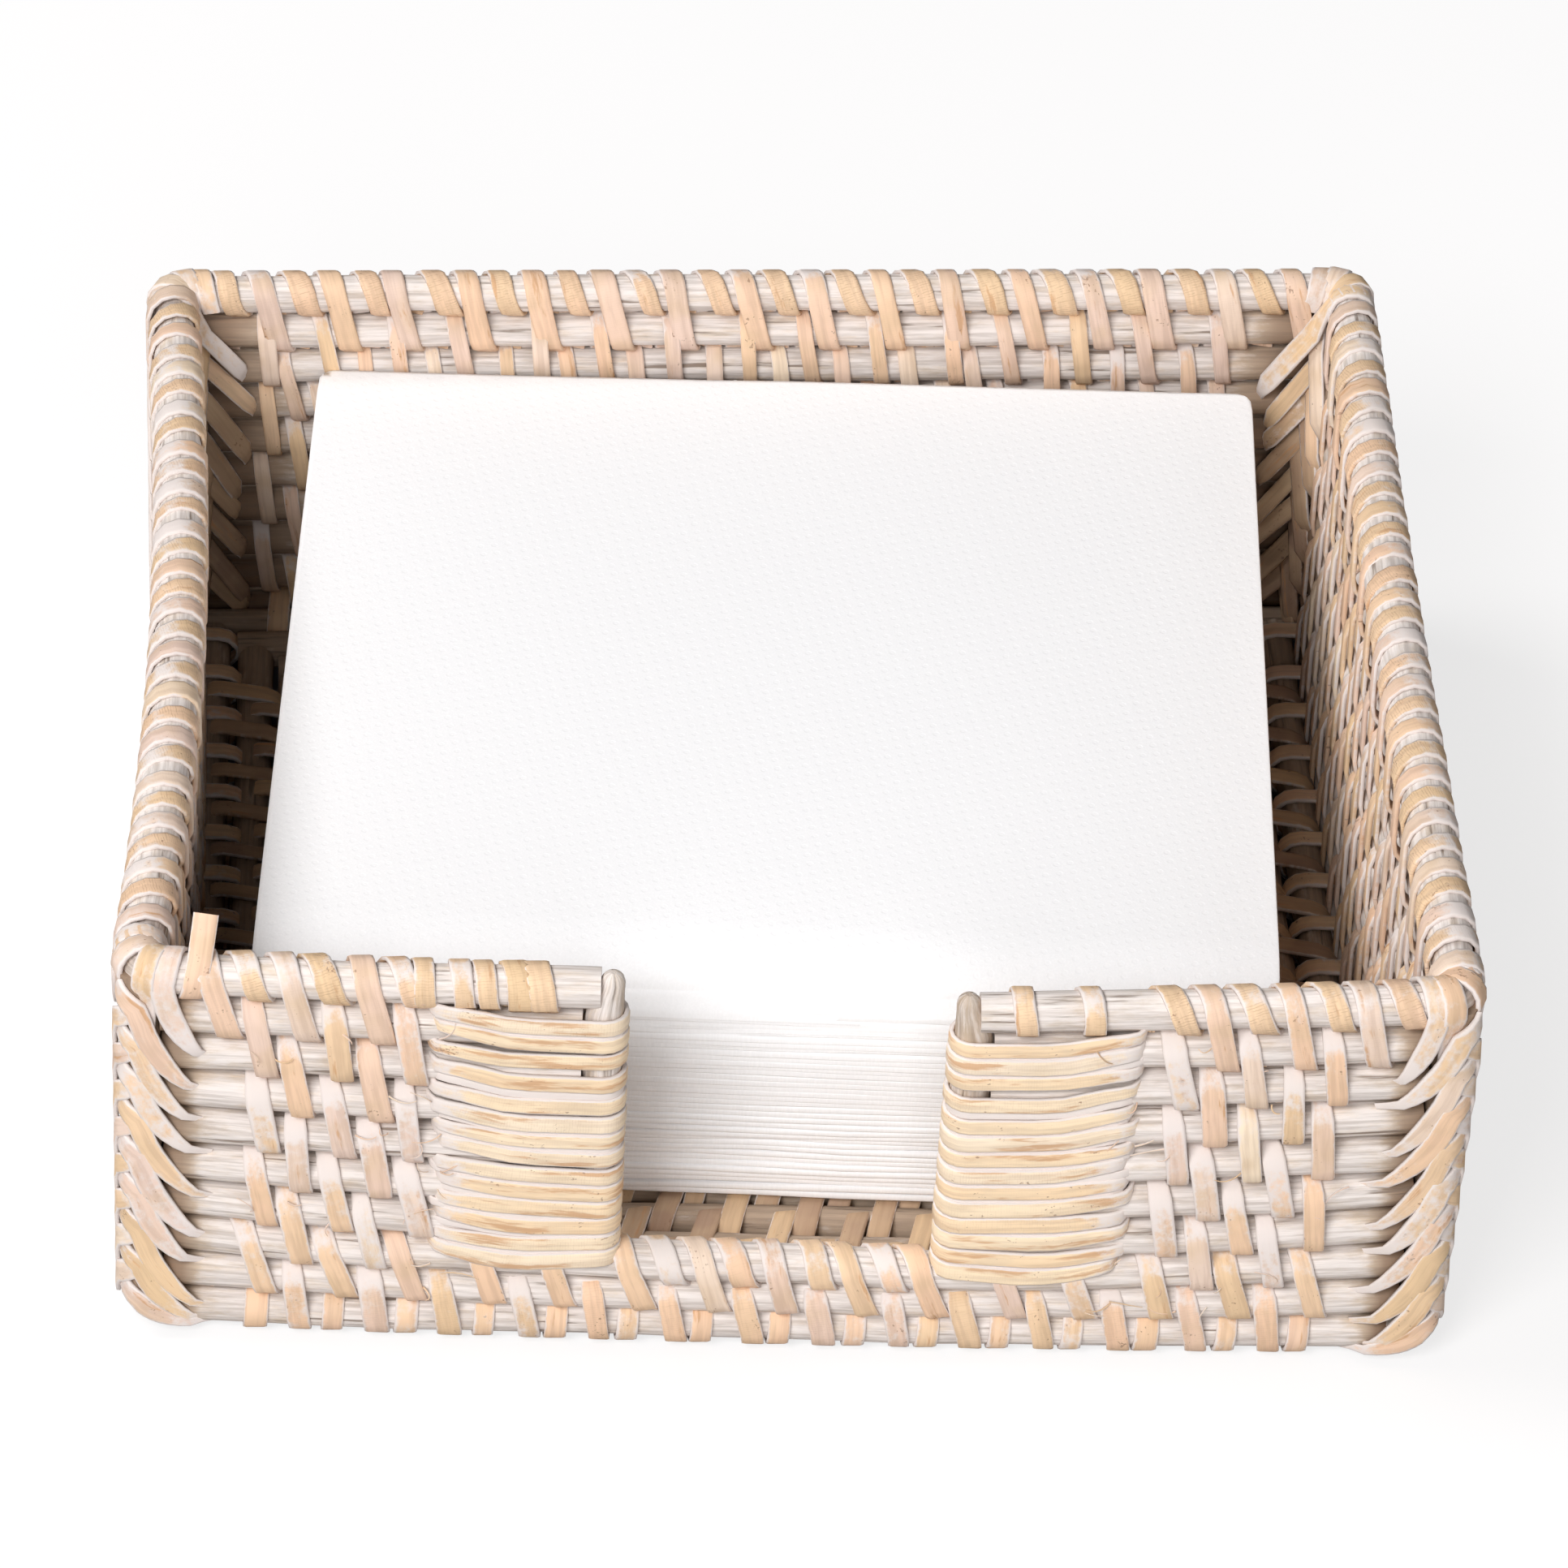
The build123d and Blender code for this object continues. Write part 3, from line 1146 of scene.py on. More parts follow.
@dataclass(frozen=True)
class Lashing:
    """How a wall's strips wander and are painted."""

    pitch: float = 11.8 * MM
    width: float = 3.7 * MM
    jitter: float = 0.55 * MM
    sway: float = 0.25 * MM
    lift: float = 0.12 * MM
    pinch: float = 0.24
    most_chalk: Span = (0.65, 0.4)
    chalk_change: float = 0.15
    inner_loss_and_shade: float = 0.3
    tone_change: float = 0.12

    def loop(self, plane: WallPlane, outline: LoopOutline, along: float, up: float, look: StripLook,
             rng: Random, chalk: float = 0.0, width: float | None = None) -> StripPath:
        """One turn of split cane round one or two rods.

        Args:
            plane: The wall.
            outline: The section that it follows.
            along: Where its outer run crosses the middle height.
            up: The middle height.
            look: What its tone, chalk and lean are picked from.
            rng: Random source.
            chalk: Chalk that is added.
            width: Width of the strip, if not the usual one.

        Returns:
            The strip.
        """
        tone = pick(rng, look.tones)
        wash = chalk + pick(rng, look.wash)
        advance = self.pitch * pick(rng, look.leans) * rng.uniform(0.85, 1.12)
        out, high, normal_out, normal_up, share = outline.rows().T
        middle = along + rng.uniform(-1, 1) * self.jitter
        place = middle + advance * (share - OUTER_RUN) + self.sway * wander(share, rng, 1.0, 2)
        lift = rng.uniform(0.0, self.lift)
        points = plane.points(place, out + normal_out * lift, high + up)
        lie = plane.vectors(np.zeros_like(out), normal_out, normal_up)
        wide = (width or self.width) * rng.uniform(0.9, 1.1)
        wide = wide * (1 + 0.05 * wander(share, rng, 0.7, 2))
        most = self.most_chalk[1]
        if outline.seam is Seam.TOP:
            wide *= 1 - self.pinch * smooth(0.15, 0.26, np.abs(share - OUTER_RUN))
            most = self.most_chalk[0]
        top = smooth(0.25, 0.95, high / (outline.height / 2 + outline.reach))
        wash = wash + rng.uniform(0.15, most) * top
        wash = wash + rng.uniform(-self.chalk_change, self.chalk_change)
        # less chalk on the faces turned into the tray: partly thinner paint inside, partly painted shade
        wash = wash - self.inner_loss_and_shade * smooth(0.2, -0.4, normal_out)
        tone += rng.uniform(-self.tone_change, self.tone_change)
        return StripPath(points, lie, wide, float(np.clip(tone, 0, 1)), wash, look.crack)


# The tray's pieces


@dataclass
class Rods:
    """Cane rods and posts, one piece for each CAD node."""

    sizes: TraySizes
    stock: Stock
    first_seed: int = 101
    grain_seed: int = 5000
    grain_room: float = 4.0
    step: float = 3.0 * MM
    stray: float = 0.22 * MM
    stray_wave: float = 0.11
    girth_change: float = 0.03
    sides: int = 16
    floor_sides: int = 12
    elbow_radius: float = 3.4 * MM
    overlap: float = 1.2 * MM
    post_inset: float = 0.1 * MM
    post_stray: float = 0.1 * MM
    rim_dip: float = 0.3 * MM
    foot_rise: float = 1.3 * MM
    rim_reach: float = 2.6 * MM
    rim_swell: float = 0.22
    shaft_rows: int = 14
    shaft_end: float = 4.0 * MM
    neck: float = 0.92
    head_drops_mm: Options = (-3.6, -2.4, -1.4, -0.7, -0.2, 0.15)
    head_girths: Options = (0.74, 0.64, 0.60, 0.52, 0.38, 0.16)
    head_least: float = 0.6
    # painted shade: the floor rods are half unpainted and darker, for the shade on the floor between the
    # walls and the napkins
    floor_painted_shade: float = 0.5
    # Darkening of rods towards the corners and on posts: partly wear, partly painted shade inside the corners
    # and behind the leaves.
    corner_wear_and_shade: float = 0.7
    deeper_wear_and_shade: float = 0.03
    deeper_shade_reach: float = 2.5 * MM
    elbow_darkening: float = 0.05
    post_bare: Span = (0.1, 0.28)
    front_darkening_zone: Span = (8.0 * MM, 1.0 * MM)
    inner_darkening_zone: Span = (15.0 * MM, 5.0 * MM)
    shade_side_turn: Span = (0.3, -0.25)

    def girths(self, run: Array, rng: Random) -> Array:
        """A rod's girth, a little uneven along its run."""
        return 1.0 + self.girth_change * wander(run, rng, 0.06)

    def line(self, start: Array, end: Array, rng: Random) -> RodLine:
        """A straight rod's middle line, a little uneven.

        Args:
            start: Its first point.
            end: Its last point.
            rng: Random source.

        Returns:
            The points and the girth at each.
        """
        length = float(np.linalg.norm(end - start))
        run = np.linspace(0.0, length, max(3, int(length / self.step) + 1))
        way = unit(end - start)
        across = unit(np.cross(way, UP if abs(way[2]) < 0.5 else np.array((1.0, 0.0, 0.0))))
        stray = self.stray * wander(run, rng, self.stray_wave)
        return start + run[:, None] * way + stray[:, None] * across, self.girths(run, rng)

    def wall_line(self, plane: WallPlane, low: float, high: float, up: float, rng: Random) -> RodLine:
        """A wall rod's middle line, which follows the bow of its wall.

        Args:
            plane: The wall.
            low: Where it starts along the wall.
            high: Where it ends.
            up: Its height.
            rng: Random source.

        Returns:
            The points and the girth at each.
        """
        along = np.linspace(low, high, max(3, int((high - low) / self.step) + 1))
        out = self.stray * wander(along, rng, self.stray_wave)
        heights = up + 0.5 * self.stray * wander(along, rng, 0.09)
        return plane.points(along, out, heights), self.girths(along, rng)

    def elbow(self, corner: Array, first: Array, second: Array, rise: float, rng: Random) -> RodLine:
        """A course's bend round a corner, from one wall's rod to the next.

        Args:
            corner: Where the two rods' lines cross.
            first: Direction along the first wall, away from the corner.
            second: Direction along the second wall, away from the corner.
            rise: How far the bend rises in its middle.
            rng: Random source.

        Returns:
            The points and the girth at each.
        """
        bend = self.elbow_radius
        turn = np.radians(np.linspace(0, 90, 9))
        arc = corner + (first + second) * bend
        arc = arc - bend * (np.cos(turn)[:, None] * second + np.sin(turn)[:, None] * first)
        arc[:, 2] += rise * np.sin(2 * turn)
        points = chain([arc[0] + first * self.overlap], arc, [arc[-1] + second * self.overlap])
        return points, 1.0 + 0.02 * rng.uniform(-1, 1, len(points))

    def build(self, node: str, lines: list[RodLine], seed: int, sides: int, bare_and_shade: float | list) -> Piece:
        """Sweeps the rods of one node.

        Args:
            node: The CAD node that they stand for.
            lines: Middle lines with their girths.
            seed: Seed of the lumps and of where the grain starts.
            sides: Sides of a rod.
            bare_and_shade: Share of the paint that gives way to dark unpainted cane, for all rods or for each
                rod or point; near the corners and on the floor it is painted shade.

        Returns:
            The piece.
        """
        rng = np.random.default_rng(seed + self.grain_seed)
        runs = [run_along(points) + rng.uniform(0, self.grain_room) for points, _ in lines]
        shares = bare_and_shade if isinstance(bare_and_shade, list) else [bare_and_shade] * len(lines)
        darkening = [np.broadcast_to(share, len(girth)) for share, (_, girth) in zip(shares, lines)]
        girths = np.concatenate([girth for _, girth in lines])
        values = {"girth": girths, "run": np.concatenate(runs), "bare_and_shade": np.concatenate(darkening)}
        name = f"cane_{node}"
        guide = guide_mesh(name, [SKEW.moved(points) for points, _ in lines], values)
        inputs = {"Radius": self.sizes.rod_radius, "Sides": sides, "Seed": float(seed)}
        return self.stock.make(name, guide, inputs, node)

    def wall_rod(self, plane: WallPlane, course: int, seed: int) -> None:
        """One course of a wall, whole or cut in two by the notch, darkening towards the corners: partly wear,
        partly painted shade.

        Args:
            plane: The wall.
            course: The course, with the rim as 1.
            seed: Seed of its unevenness.
        """
        side, half = plane.side, plane.half_length
        rng = np.random.default_rng(seed)
        runs = [(-half, half)]
        darkening_start, darkening_full = self.front_darkening_zone
        if side is not Side.FRONT:
            darkening_start, darkening_full = self.inner_darkening_zone
            darkening_start += self.deeper_shade_reach * (course - 1)
        elif course < self.sizes.sill:
            end = self.sizes.stub_end_x - (self.rim_reach if course == 1 else 0.0)
            runs = [(-half, NOTCH_SHIFT - end), (NOTCH_SHIFT + end, half)]
        lines = [self.wall_line(plane, low, high, self.sizes.z(course), rng) for low, high in runs]
        ends = (half - darkening_start, half - darkening_full)
        near = [smooth(*ends, np.abs(points @ side.along)) for points, _ in lines]
        if course == 1 and side in SIDE_WALLS:
            swells = [self.rim_swell * (1 - end) for end in near]
            lines = [(points, girth + swell) for (points, girth), swell in zip(lines, swells)]
        # painted shade, with some wear: the rods darken towards the corners, more on the deeper courses
        corner_shade = min(self.corner_wear_and_shade + self.deeper_wear_and_shade * course, 1.0) if course > 1 else 0.0
        darkening = [corner_shade * end for end in near]
        piece = self.build(f"{side.label}_rod_{course:02d}", lines, seed, self.sides, darkening)
        if side is not Side.FRONT:
            self.keep_shade_inside(piece, side)

    def keep_shade_inside(self, piece: Piece, side: Side) -> None:
        """Keeps a darkened rod's painted shade on its inner half and clears it from the outer half.

        Args:
            piece: The rod.
            side: The wall that it lies in.
        """
        mesh = piece.data
        normals = np.empty((len(mesh.vertices), 3), dtype=np.float32)
        mesh.vertex_normals.foreach_get("vector", normals.ravel())
        darkening = np.empty(len(mesh.vertices), dtype=np.float32)
        values = mesh.attributes["bare_and_shade"].data
        values.foreach_get("value", darkening)
        # the painted shade stays only on the side that faces into the tray
        inside = smooth(*self.shade_side_turn, normals @ side.out)
        values.foreach_set("value", (darkening * inside).astype(np.float32))

    def corner_post(self, node: str, seed: int) -> None:
        """An upright post with the rim bent over it and the bottom course bent under it.

        Args:
            node: The CAD node that it stands for.
            seed: Seed of its unevenness.
        """
        centre, _ = middle_and_half(node)
        rng = np.random.default_rng(seed)
        inward_x = np.array((-math.copysign(1.0, centre.x), 0.0, 0.0))
        inward_y = np.array((0.0, -math.copysign(1.0, centre.y), 0.0))
        top = np.array((centre.x, centre.y, self.sizes.course_z[0]))
        bottom = np.array((centre.x, centre.y, self.sizes.course_z[-1]))
        inset = (inward_x + inward_y) * self.post_inset
        lines = [
            self.elbow(top, inward_x, inward_y, -self.rim_dip, rng),
            self.elbow(bottom, inward_x, inward_y, self.foot_rise, rng),
            self.line(bottom + inset + UP * self.foot_rise, top + inset, rng),
        ]
        # painted shade: the post's shaft is dark, for the shade behind the corner's leaves
        self.build(node, lines, seed, self.sides, [self.elbow_darkening, self.elbow_darkening, self.corner_wear_and_shade])

    def notch_post(self, node: str, seed: int) -> None:
        """An upright post beside the notch, thinned to a rounded head where the rim meets it.

        Args:
            node: The CAD node that it stands for.
            seed: Seed of its unevenness.
        """
        low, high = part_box(node)
        centre = (low + high) / 2
        rng = np.random.default_rng(seed)
        plane = WallPlane(Side.FRONT, self.sizes)
        shaft = np.linspace(low.z, self.sizes.z(1) - self.shaft_end, self.shaft_rows)
        heights = chain(shaft, high.z + np.array(self.head_drops_mm) * MM)
        girth = chain(np.ones(self.shaft_rows - 1), [self.neck], self.head_girths)
        thinned = (1.0 - np.maximum(girth, self.head_least)) * self.sizes.rod_radius
        along = centre.x + NOTCH_SHIFT - math.copysign(1.0, centre.x) * thinned
        points = plane.points(along, self.post_stray * wander(heights, rng, 0.05), heights)
        self.build(node, [(points, girth)], seed, self.sides, self.post_bare[int(centre.x > 0)])

    def floor(self, side: Side, seed: int) -> None:
        """One side's rods of every ring of the floor.

        Args:
            side: The side.
            seed: Seed of their unevenness.
        """
        node = f"floor_rods_{side.label}"
        sizes = self.sizes
        rng = np.random.default_rng(seed)
        centre, _ = middle_and_half(node)
        across = side.value[0] == 0
        lines = []
        ring = 1
        while True:
            half_x, half_y = sizes.wall_x - ring * sizes.pitch, sizes.wall_y - ring * sizes.pitch
            reach = half_x + sizes.rod_radius if across else half_y - sizes.rod_radius
            if min(half_x, half_y, reach) < sizes.rod_radius:
                break
            middle = side.out * (half_y if across else half_x) + UP * centre.z
            lines.append(self.line(middle - side.along * reach, middle + side.along * reach, rng))
            ring += 1
        # the floor rods carry painted shade
        self.build(node, lines, seed, self.floor_sides, self.floor_painted_shade)

    def dress(self) -> None:
        """Makes every rod and post, each with the next seed."""
        seeds = itertools.count(self.first_seed)
        for side in Side:
            plane = WallPlane(side, self.sizes)
            for course in range(1, len(self.sizes.course_z) + 1):
                self.wall_rod(plane, course, next(seeds))
        for node in sorted(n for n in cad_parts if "_post_" in n):
            post = self.corner_post if node.startswith("corner") else self.notch_post
            post(node, next(seeds))
        for side in Side:
            self.floor(side, next(seeds))


@dataclass
class WallLashing:
    """Leaning strips that hold each course to the next, on all four walls and the floor."""

    sizes: TraySizes
    stock: Stock
    lashing: Lashing = Lashing()
    wall_seed: int = 900
    rim_seed: int = 950
    sill_seed: int = 960
    foot_seed: int = 970
    floor_seed: int = 980
    corner_room: float = 11.5 * MM
    rim_room: float = 3.5 * MM
    band_room: float = 3.0 * MM
    short_shift: float = 5.4 * MM
    strip_half: float = 0.42 * MM
    rim_swell: float = 0.55 * MM
    side_chalk: float = 0.12
    wall_look: StripLook = StripLook((0.3, 0.45, 0.6, 0.75, 0.9), (0.15, 0.42), (0.3, 0.7))
    rim_look: StripLook = StripLook((0.4, 0.95), (0.0, 0.25), (0.74,), 0.15)
    wrap_look: StripLook = StripLook((0.25, 0.45), (0.0, 0.2), (0.62,), 1.0)
    stub_look: StripLook = StripLook((0.25, 0.4), (0.15,), (0.2,), 0.6)
    sill_look: StripLook = StripLook((0.3, 0.8), (0.0, 0.28), (0.85,))
    sill_wrap_look: StripLook = StripLook((0.3, 0.6), (0.25, 0.5), (0.6,), 0.2)
    foot_look: StripLook = StripLook((0.3, 0.4, 0.6), (0.1, 0.35), (0.5,), 0.35)
    edge_look: StripLook = StripLook((0.3, 0.6), (0.2, 0.45), (0.15,))
    # painted shade: the inner floor strips take the darkest tones and little chalk
    floor_shade_look: StripLook = StripLook((0.0, 0.13), (-0.1, 0.25), (0.8,))
    stub_places_mm: Options = (-57.0, -51.8, -47.6, -43.4, -39.2, 34.2, 44.6)
    stub_widths_mm: Options = (3.6, 3.3, 3.4, 3.9, 4.0, 3.7, 3.6)
    floor_jitter: float = 0.5 * MM
    loose_place: float = -92.6 * MM

    @property
    def reach(self) -> float:
        """Distance from a rod's centre to the middle of a strip on it."""
        return self.sizes.rod_radius + self.strip_half

    def places(self, plane: WallPlane, course: int, room: float, shift: float = 0.0) -> list[float]:
        """Places along a wall for the strips of one pair of courses, staggered like bricks.

        Args:
            plane: The wall.
            course: The upper course.
            room: Length at each end that is left free.
            shift: How far all places are moved along.

        Returns:
            Distances from the wall's middle.
        """
        limit = plane.half_length - room
        pitch = self.lashing.pitch
        first = (course % 2) * pitch / 2 + shift
        steps = int(limit / pitch) + 2
        found = [first + step * pitch for step in range(-steps, steps + 1)]
        return [s for s in found if abs(s) <= limit]

    def lash(self, bundle: StripBundle, plane: WallPlane, course: int, outline: LoopOutline, look: StripLook,
             room: float, shift: float = 0.0, chalk: float = 0.0) -> None:
        """Lashes a course to the next one down, or wraps it alone, all along a wall but for the notch.

        Args:
            bundle: The bundle that the strips go into.
            plane: The wall.
            course: The course.
            outline: Section of the strips, with no height for a single course.
            look: What the strips are picked from.
            room: Length at each end that is left free.
            shift: How far the strips are moved along.
            chalk: Chalk that is added.
        """
        up = self.sizes.z(course)
        if outline.height > 0:
            up = (up + self.sizes.z(course + 1)) / 2
        beside_notch = plane.side is Side.FRONT and course < self.sizes.sill
        least = self.sizes.band_end_x + self.band_room if beside_notch else 0.0
        for along in self.places(plane, course, room, shift):
            if abs(along) >= least:
                strip = self.lashing.loop(plane, outline, along, up, look, bundle.rng, chalk)
                bundle.strips.append(strip)

    def wall(self, side: Side) -> None:
        """The strips of one wall, apart from its rim, its sill and its foot."""
        plane = WallPlane(side, self.sizes)
        bundle = StripBundle(f"{side.label}_lashing", self.wall_seed + list(Side).index(side))
        outline = LoopOutline(self.reach, self.sizes.pitch, Seam.TOP)
        for course in range(2, len(self.sizes.course_z) - 1):
            if side is not Side.FRONT or course != self.sizes.sill:
                self.lash(bundle, plane, course, outline, self.wall_look, self.corner_room)
        bundle.lay(self.stock)

    def rim(self) -> None:
        """Long strips round the top two courses, and short wraps round the rim between them."""
        bundle = StripBundle("rim_lashing_cane", self.rim_seed)
        for side in Side:
            plane = WallPlane(side, self.sizes)
            swell, chalk = (self.rim_swell, self.side_chalk) if side in SIDE_WALLS else (0.0, 0.0)
            pair = LoopOutline(self.reach + swell, self.sizes.pitch, Seam.BOTTOM)
            single = LoopOutline(self.reach + swell, 0.0, Seam.BOTTOM)
            self.lash(bundle, plane, 1, pair, self.rim_look, self.rim_room, chalk=chalk)
            self.lash(bundle, plane, 1, single, self.wrap_look, self.rim_room, self.short_shift, chalk)
        front = WallPlane(Side.FRONT, self.sizes)
        single = LoopOutline(self.reach, 0.0, Seam.BOTTOM)
        for along, width in zip(self.stub_places_mm, self.stub_widths_mm):
            bundle.strips.append(self.lashing.loop(
                front, single, along * MM, self.sizes.z(1), self.stub_look, bundle.rng, width=width * MM))
        bundle.strips.append(self.loose_end(front, bundle.rng))
        bundle.lay(self.stock, "rim_lashing")

    def loose_end(self, plane: WallPlane, rng: Random) -> StripPath:
        """A strip at the front left that has come away from the rim and stands up.

        Args:
            plane: The front wall.
            rng: Random source.

        Returns:
            The strip.
        """
        turn = np.radians(np.linspace(-75.0, 42.0, 7))
        stretch = np.linspace(1.5 * MM, 9.0 * MM, 5)
        last_out, last_up = np.cos(turn[-1]), np.sin(turn[-1])
        out = chain(np.cos(turn) * self.reach, last_out * self.reach - last_up * stretch)
        up = chain(np.sin(turn) * self.reach, last_up * self.reach + last_out * stretch)
        normal = chain(turn, np.full_like(stretch, turn[-1] - 0.12))
        along = self.loose_place + np.linspace(-0.8 * MM, 1.8 * MM, len(out))
        lie = plane.vectors(np.zeros_like(out), np.cos(normal), np.sin(normal))
        wide = self.lashing.width * np.linspace(1.0, 1.08, len(out))
        wash = rng.uniform(0.1, 0.3, len(out))
        return StripPath(plane.points(along, out, up + self.sizes.z(1)), lie, wide, 0.55, wash)

    def sill(self) -> None:
        """Long strips under the notch and the bands, and short wraps on the sill itself."""
        bundle = StripBundle("sill_lashing_cane", self.sill_seed)
        plane = WallPlane(Side.FRONT, self.sizes)
        course = self.sizes.sill
        pair = LoopOutline(self.reach, self.sizes.pitch, Seam.BOTTOM)
        single = LoopOutline(self.reach, 0.0, Seam.BOTTOM)
        beside = plane.half_length - self.sizes.notch_half
        self.lash(bundle, plane, course, pair, self.sill_look, self.corner_room)
        self.lash(bundle, plane, course, single, self.sill_wrap_look, beside, self.short_shift)
        bundle.lay(self.stock, "sill_lashing")

    def foot(self) -> None:
        """Long strips round the bottom two courses."""
        bundle = StripBundle("foot_lashing_cane", self.foot_seed)
        outline = LoopOutline(self.reach, self.sizes.pitch, Seam.TOP)
        course = len(self.sizes.course_z) - 1
        for side in Side:
            plane = WallPlane(side, self.sizes)
            self.lash(bundle, plane, course, outline, self.foot_look, self.corner_room)
        bundle.lay(self.stock, "foot_lashing")

    def floor(self) -> None:
        """Strips that tie each ring of the floor to the next, and the outer ring to the bottom course."""
        bundle = StripBundle("floor_lashing", self.floor_seed)
        sizes = self.sizes
        rows = LoopOutline(self.reach, sizes.pitch, Seam.BOTTOM).rows()
        ring = 0
        inner = sizes.pitch
        while min(sizes.wall_x, sizes.wall_y) - inner >= sizes.rod_radius:
            # past the outer ring the strips are darkened as painted shade
            look = self.edge_look if ring == 0 else self.floor_shade_look
            for side in Side:
                plane = WallPlane(side, sizes)
                for along in self.places(plane, ring, inner + self.lashing.width):
                    inset = inner - sizes.pitch / 2
                    bundle.strips.append(self.floor_loop(plane, rows, along, inset, look, bundle.rng))
            ring += 1
            inner = (ring + 1) * sizes.pitch
        bundle.lay(self.stock)

    def floor_loop(self, plane: WallPlane, rows: Array, along: float, inset: float, look: StripLook,
                   rng: Random) -> StripPath:
        """One turn of split cane round two floor rods that lie side by side.

        Args:
            plane: The wall that the rods run along.
            rows: The loop's section.
            along: Place along the wall.
            inset: How far in from the wall the middle of the pair is.
            look: What its tone, chalk and lean are picked from.
            rng: Random source.

        Returns:
            The strip.
        """
        up, across, normal_up, normal_across, share = rows.T
        advance = self.lashing.pitch * pick(rng, look.leans) * rng.uniform(0.85, 1.1)
        middle = along + rng.uniform(-self.floor_jitter, self.floor_jitter)
        place = middle + advance * (share - OUTER_RUN)
        points = plane.points(place, across - inset, up + self.sizes.course_z[-1])
        lie = plane.vectors(np.zeros_like(up), normal_across, normal_up)
        wide = np.full_like(up, self.lashing.width * rng.uniform(0.88, 1.05))
        tone = pick(rng, look.tones)
        return StripPath(points, lie, wide, tone, np.full_like(up, pick(rng, look.wash)))

    def dress(self) -> None:
        """Lashes the walls, the rim, the sill, the foot and the floor."""
        for side in Side:
            self.wall(side)
        self.rim()
        self.sill()
        self.foot()
        self.floor()


@dataclass(frozen=True)
class CornerArm:
    """One wall's half of a corner: the way along the wall from the corner, and the way out of it."""

    corner: Array
    way: Array
    out: Array

    def points(self, along: Array, out: Array, up: Array) -> Array:
        """Places in the tray for places along, out of and up the wall."""
        along, out, up = np.broadcast_arrays(along, out, up)
        return self.corner + along[:, None] * self.way + out[:, None] * self.out + up[:, None] * UP

    def vectors(self, along: Array, out: Array, up: Array) -> Array:
        """Unit directions in the tray for directions along, out of and up the wall."""
        return unit(self.points(along, out, up) - self.corner)


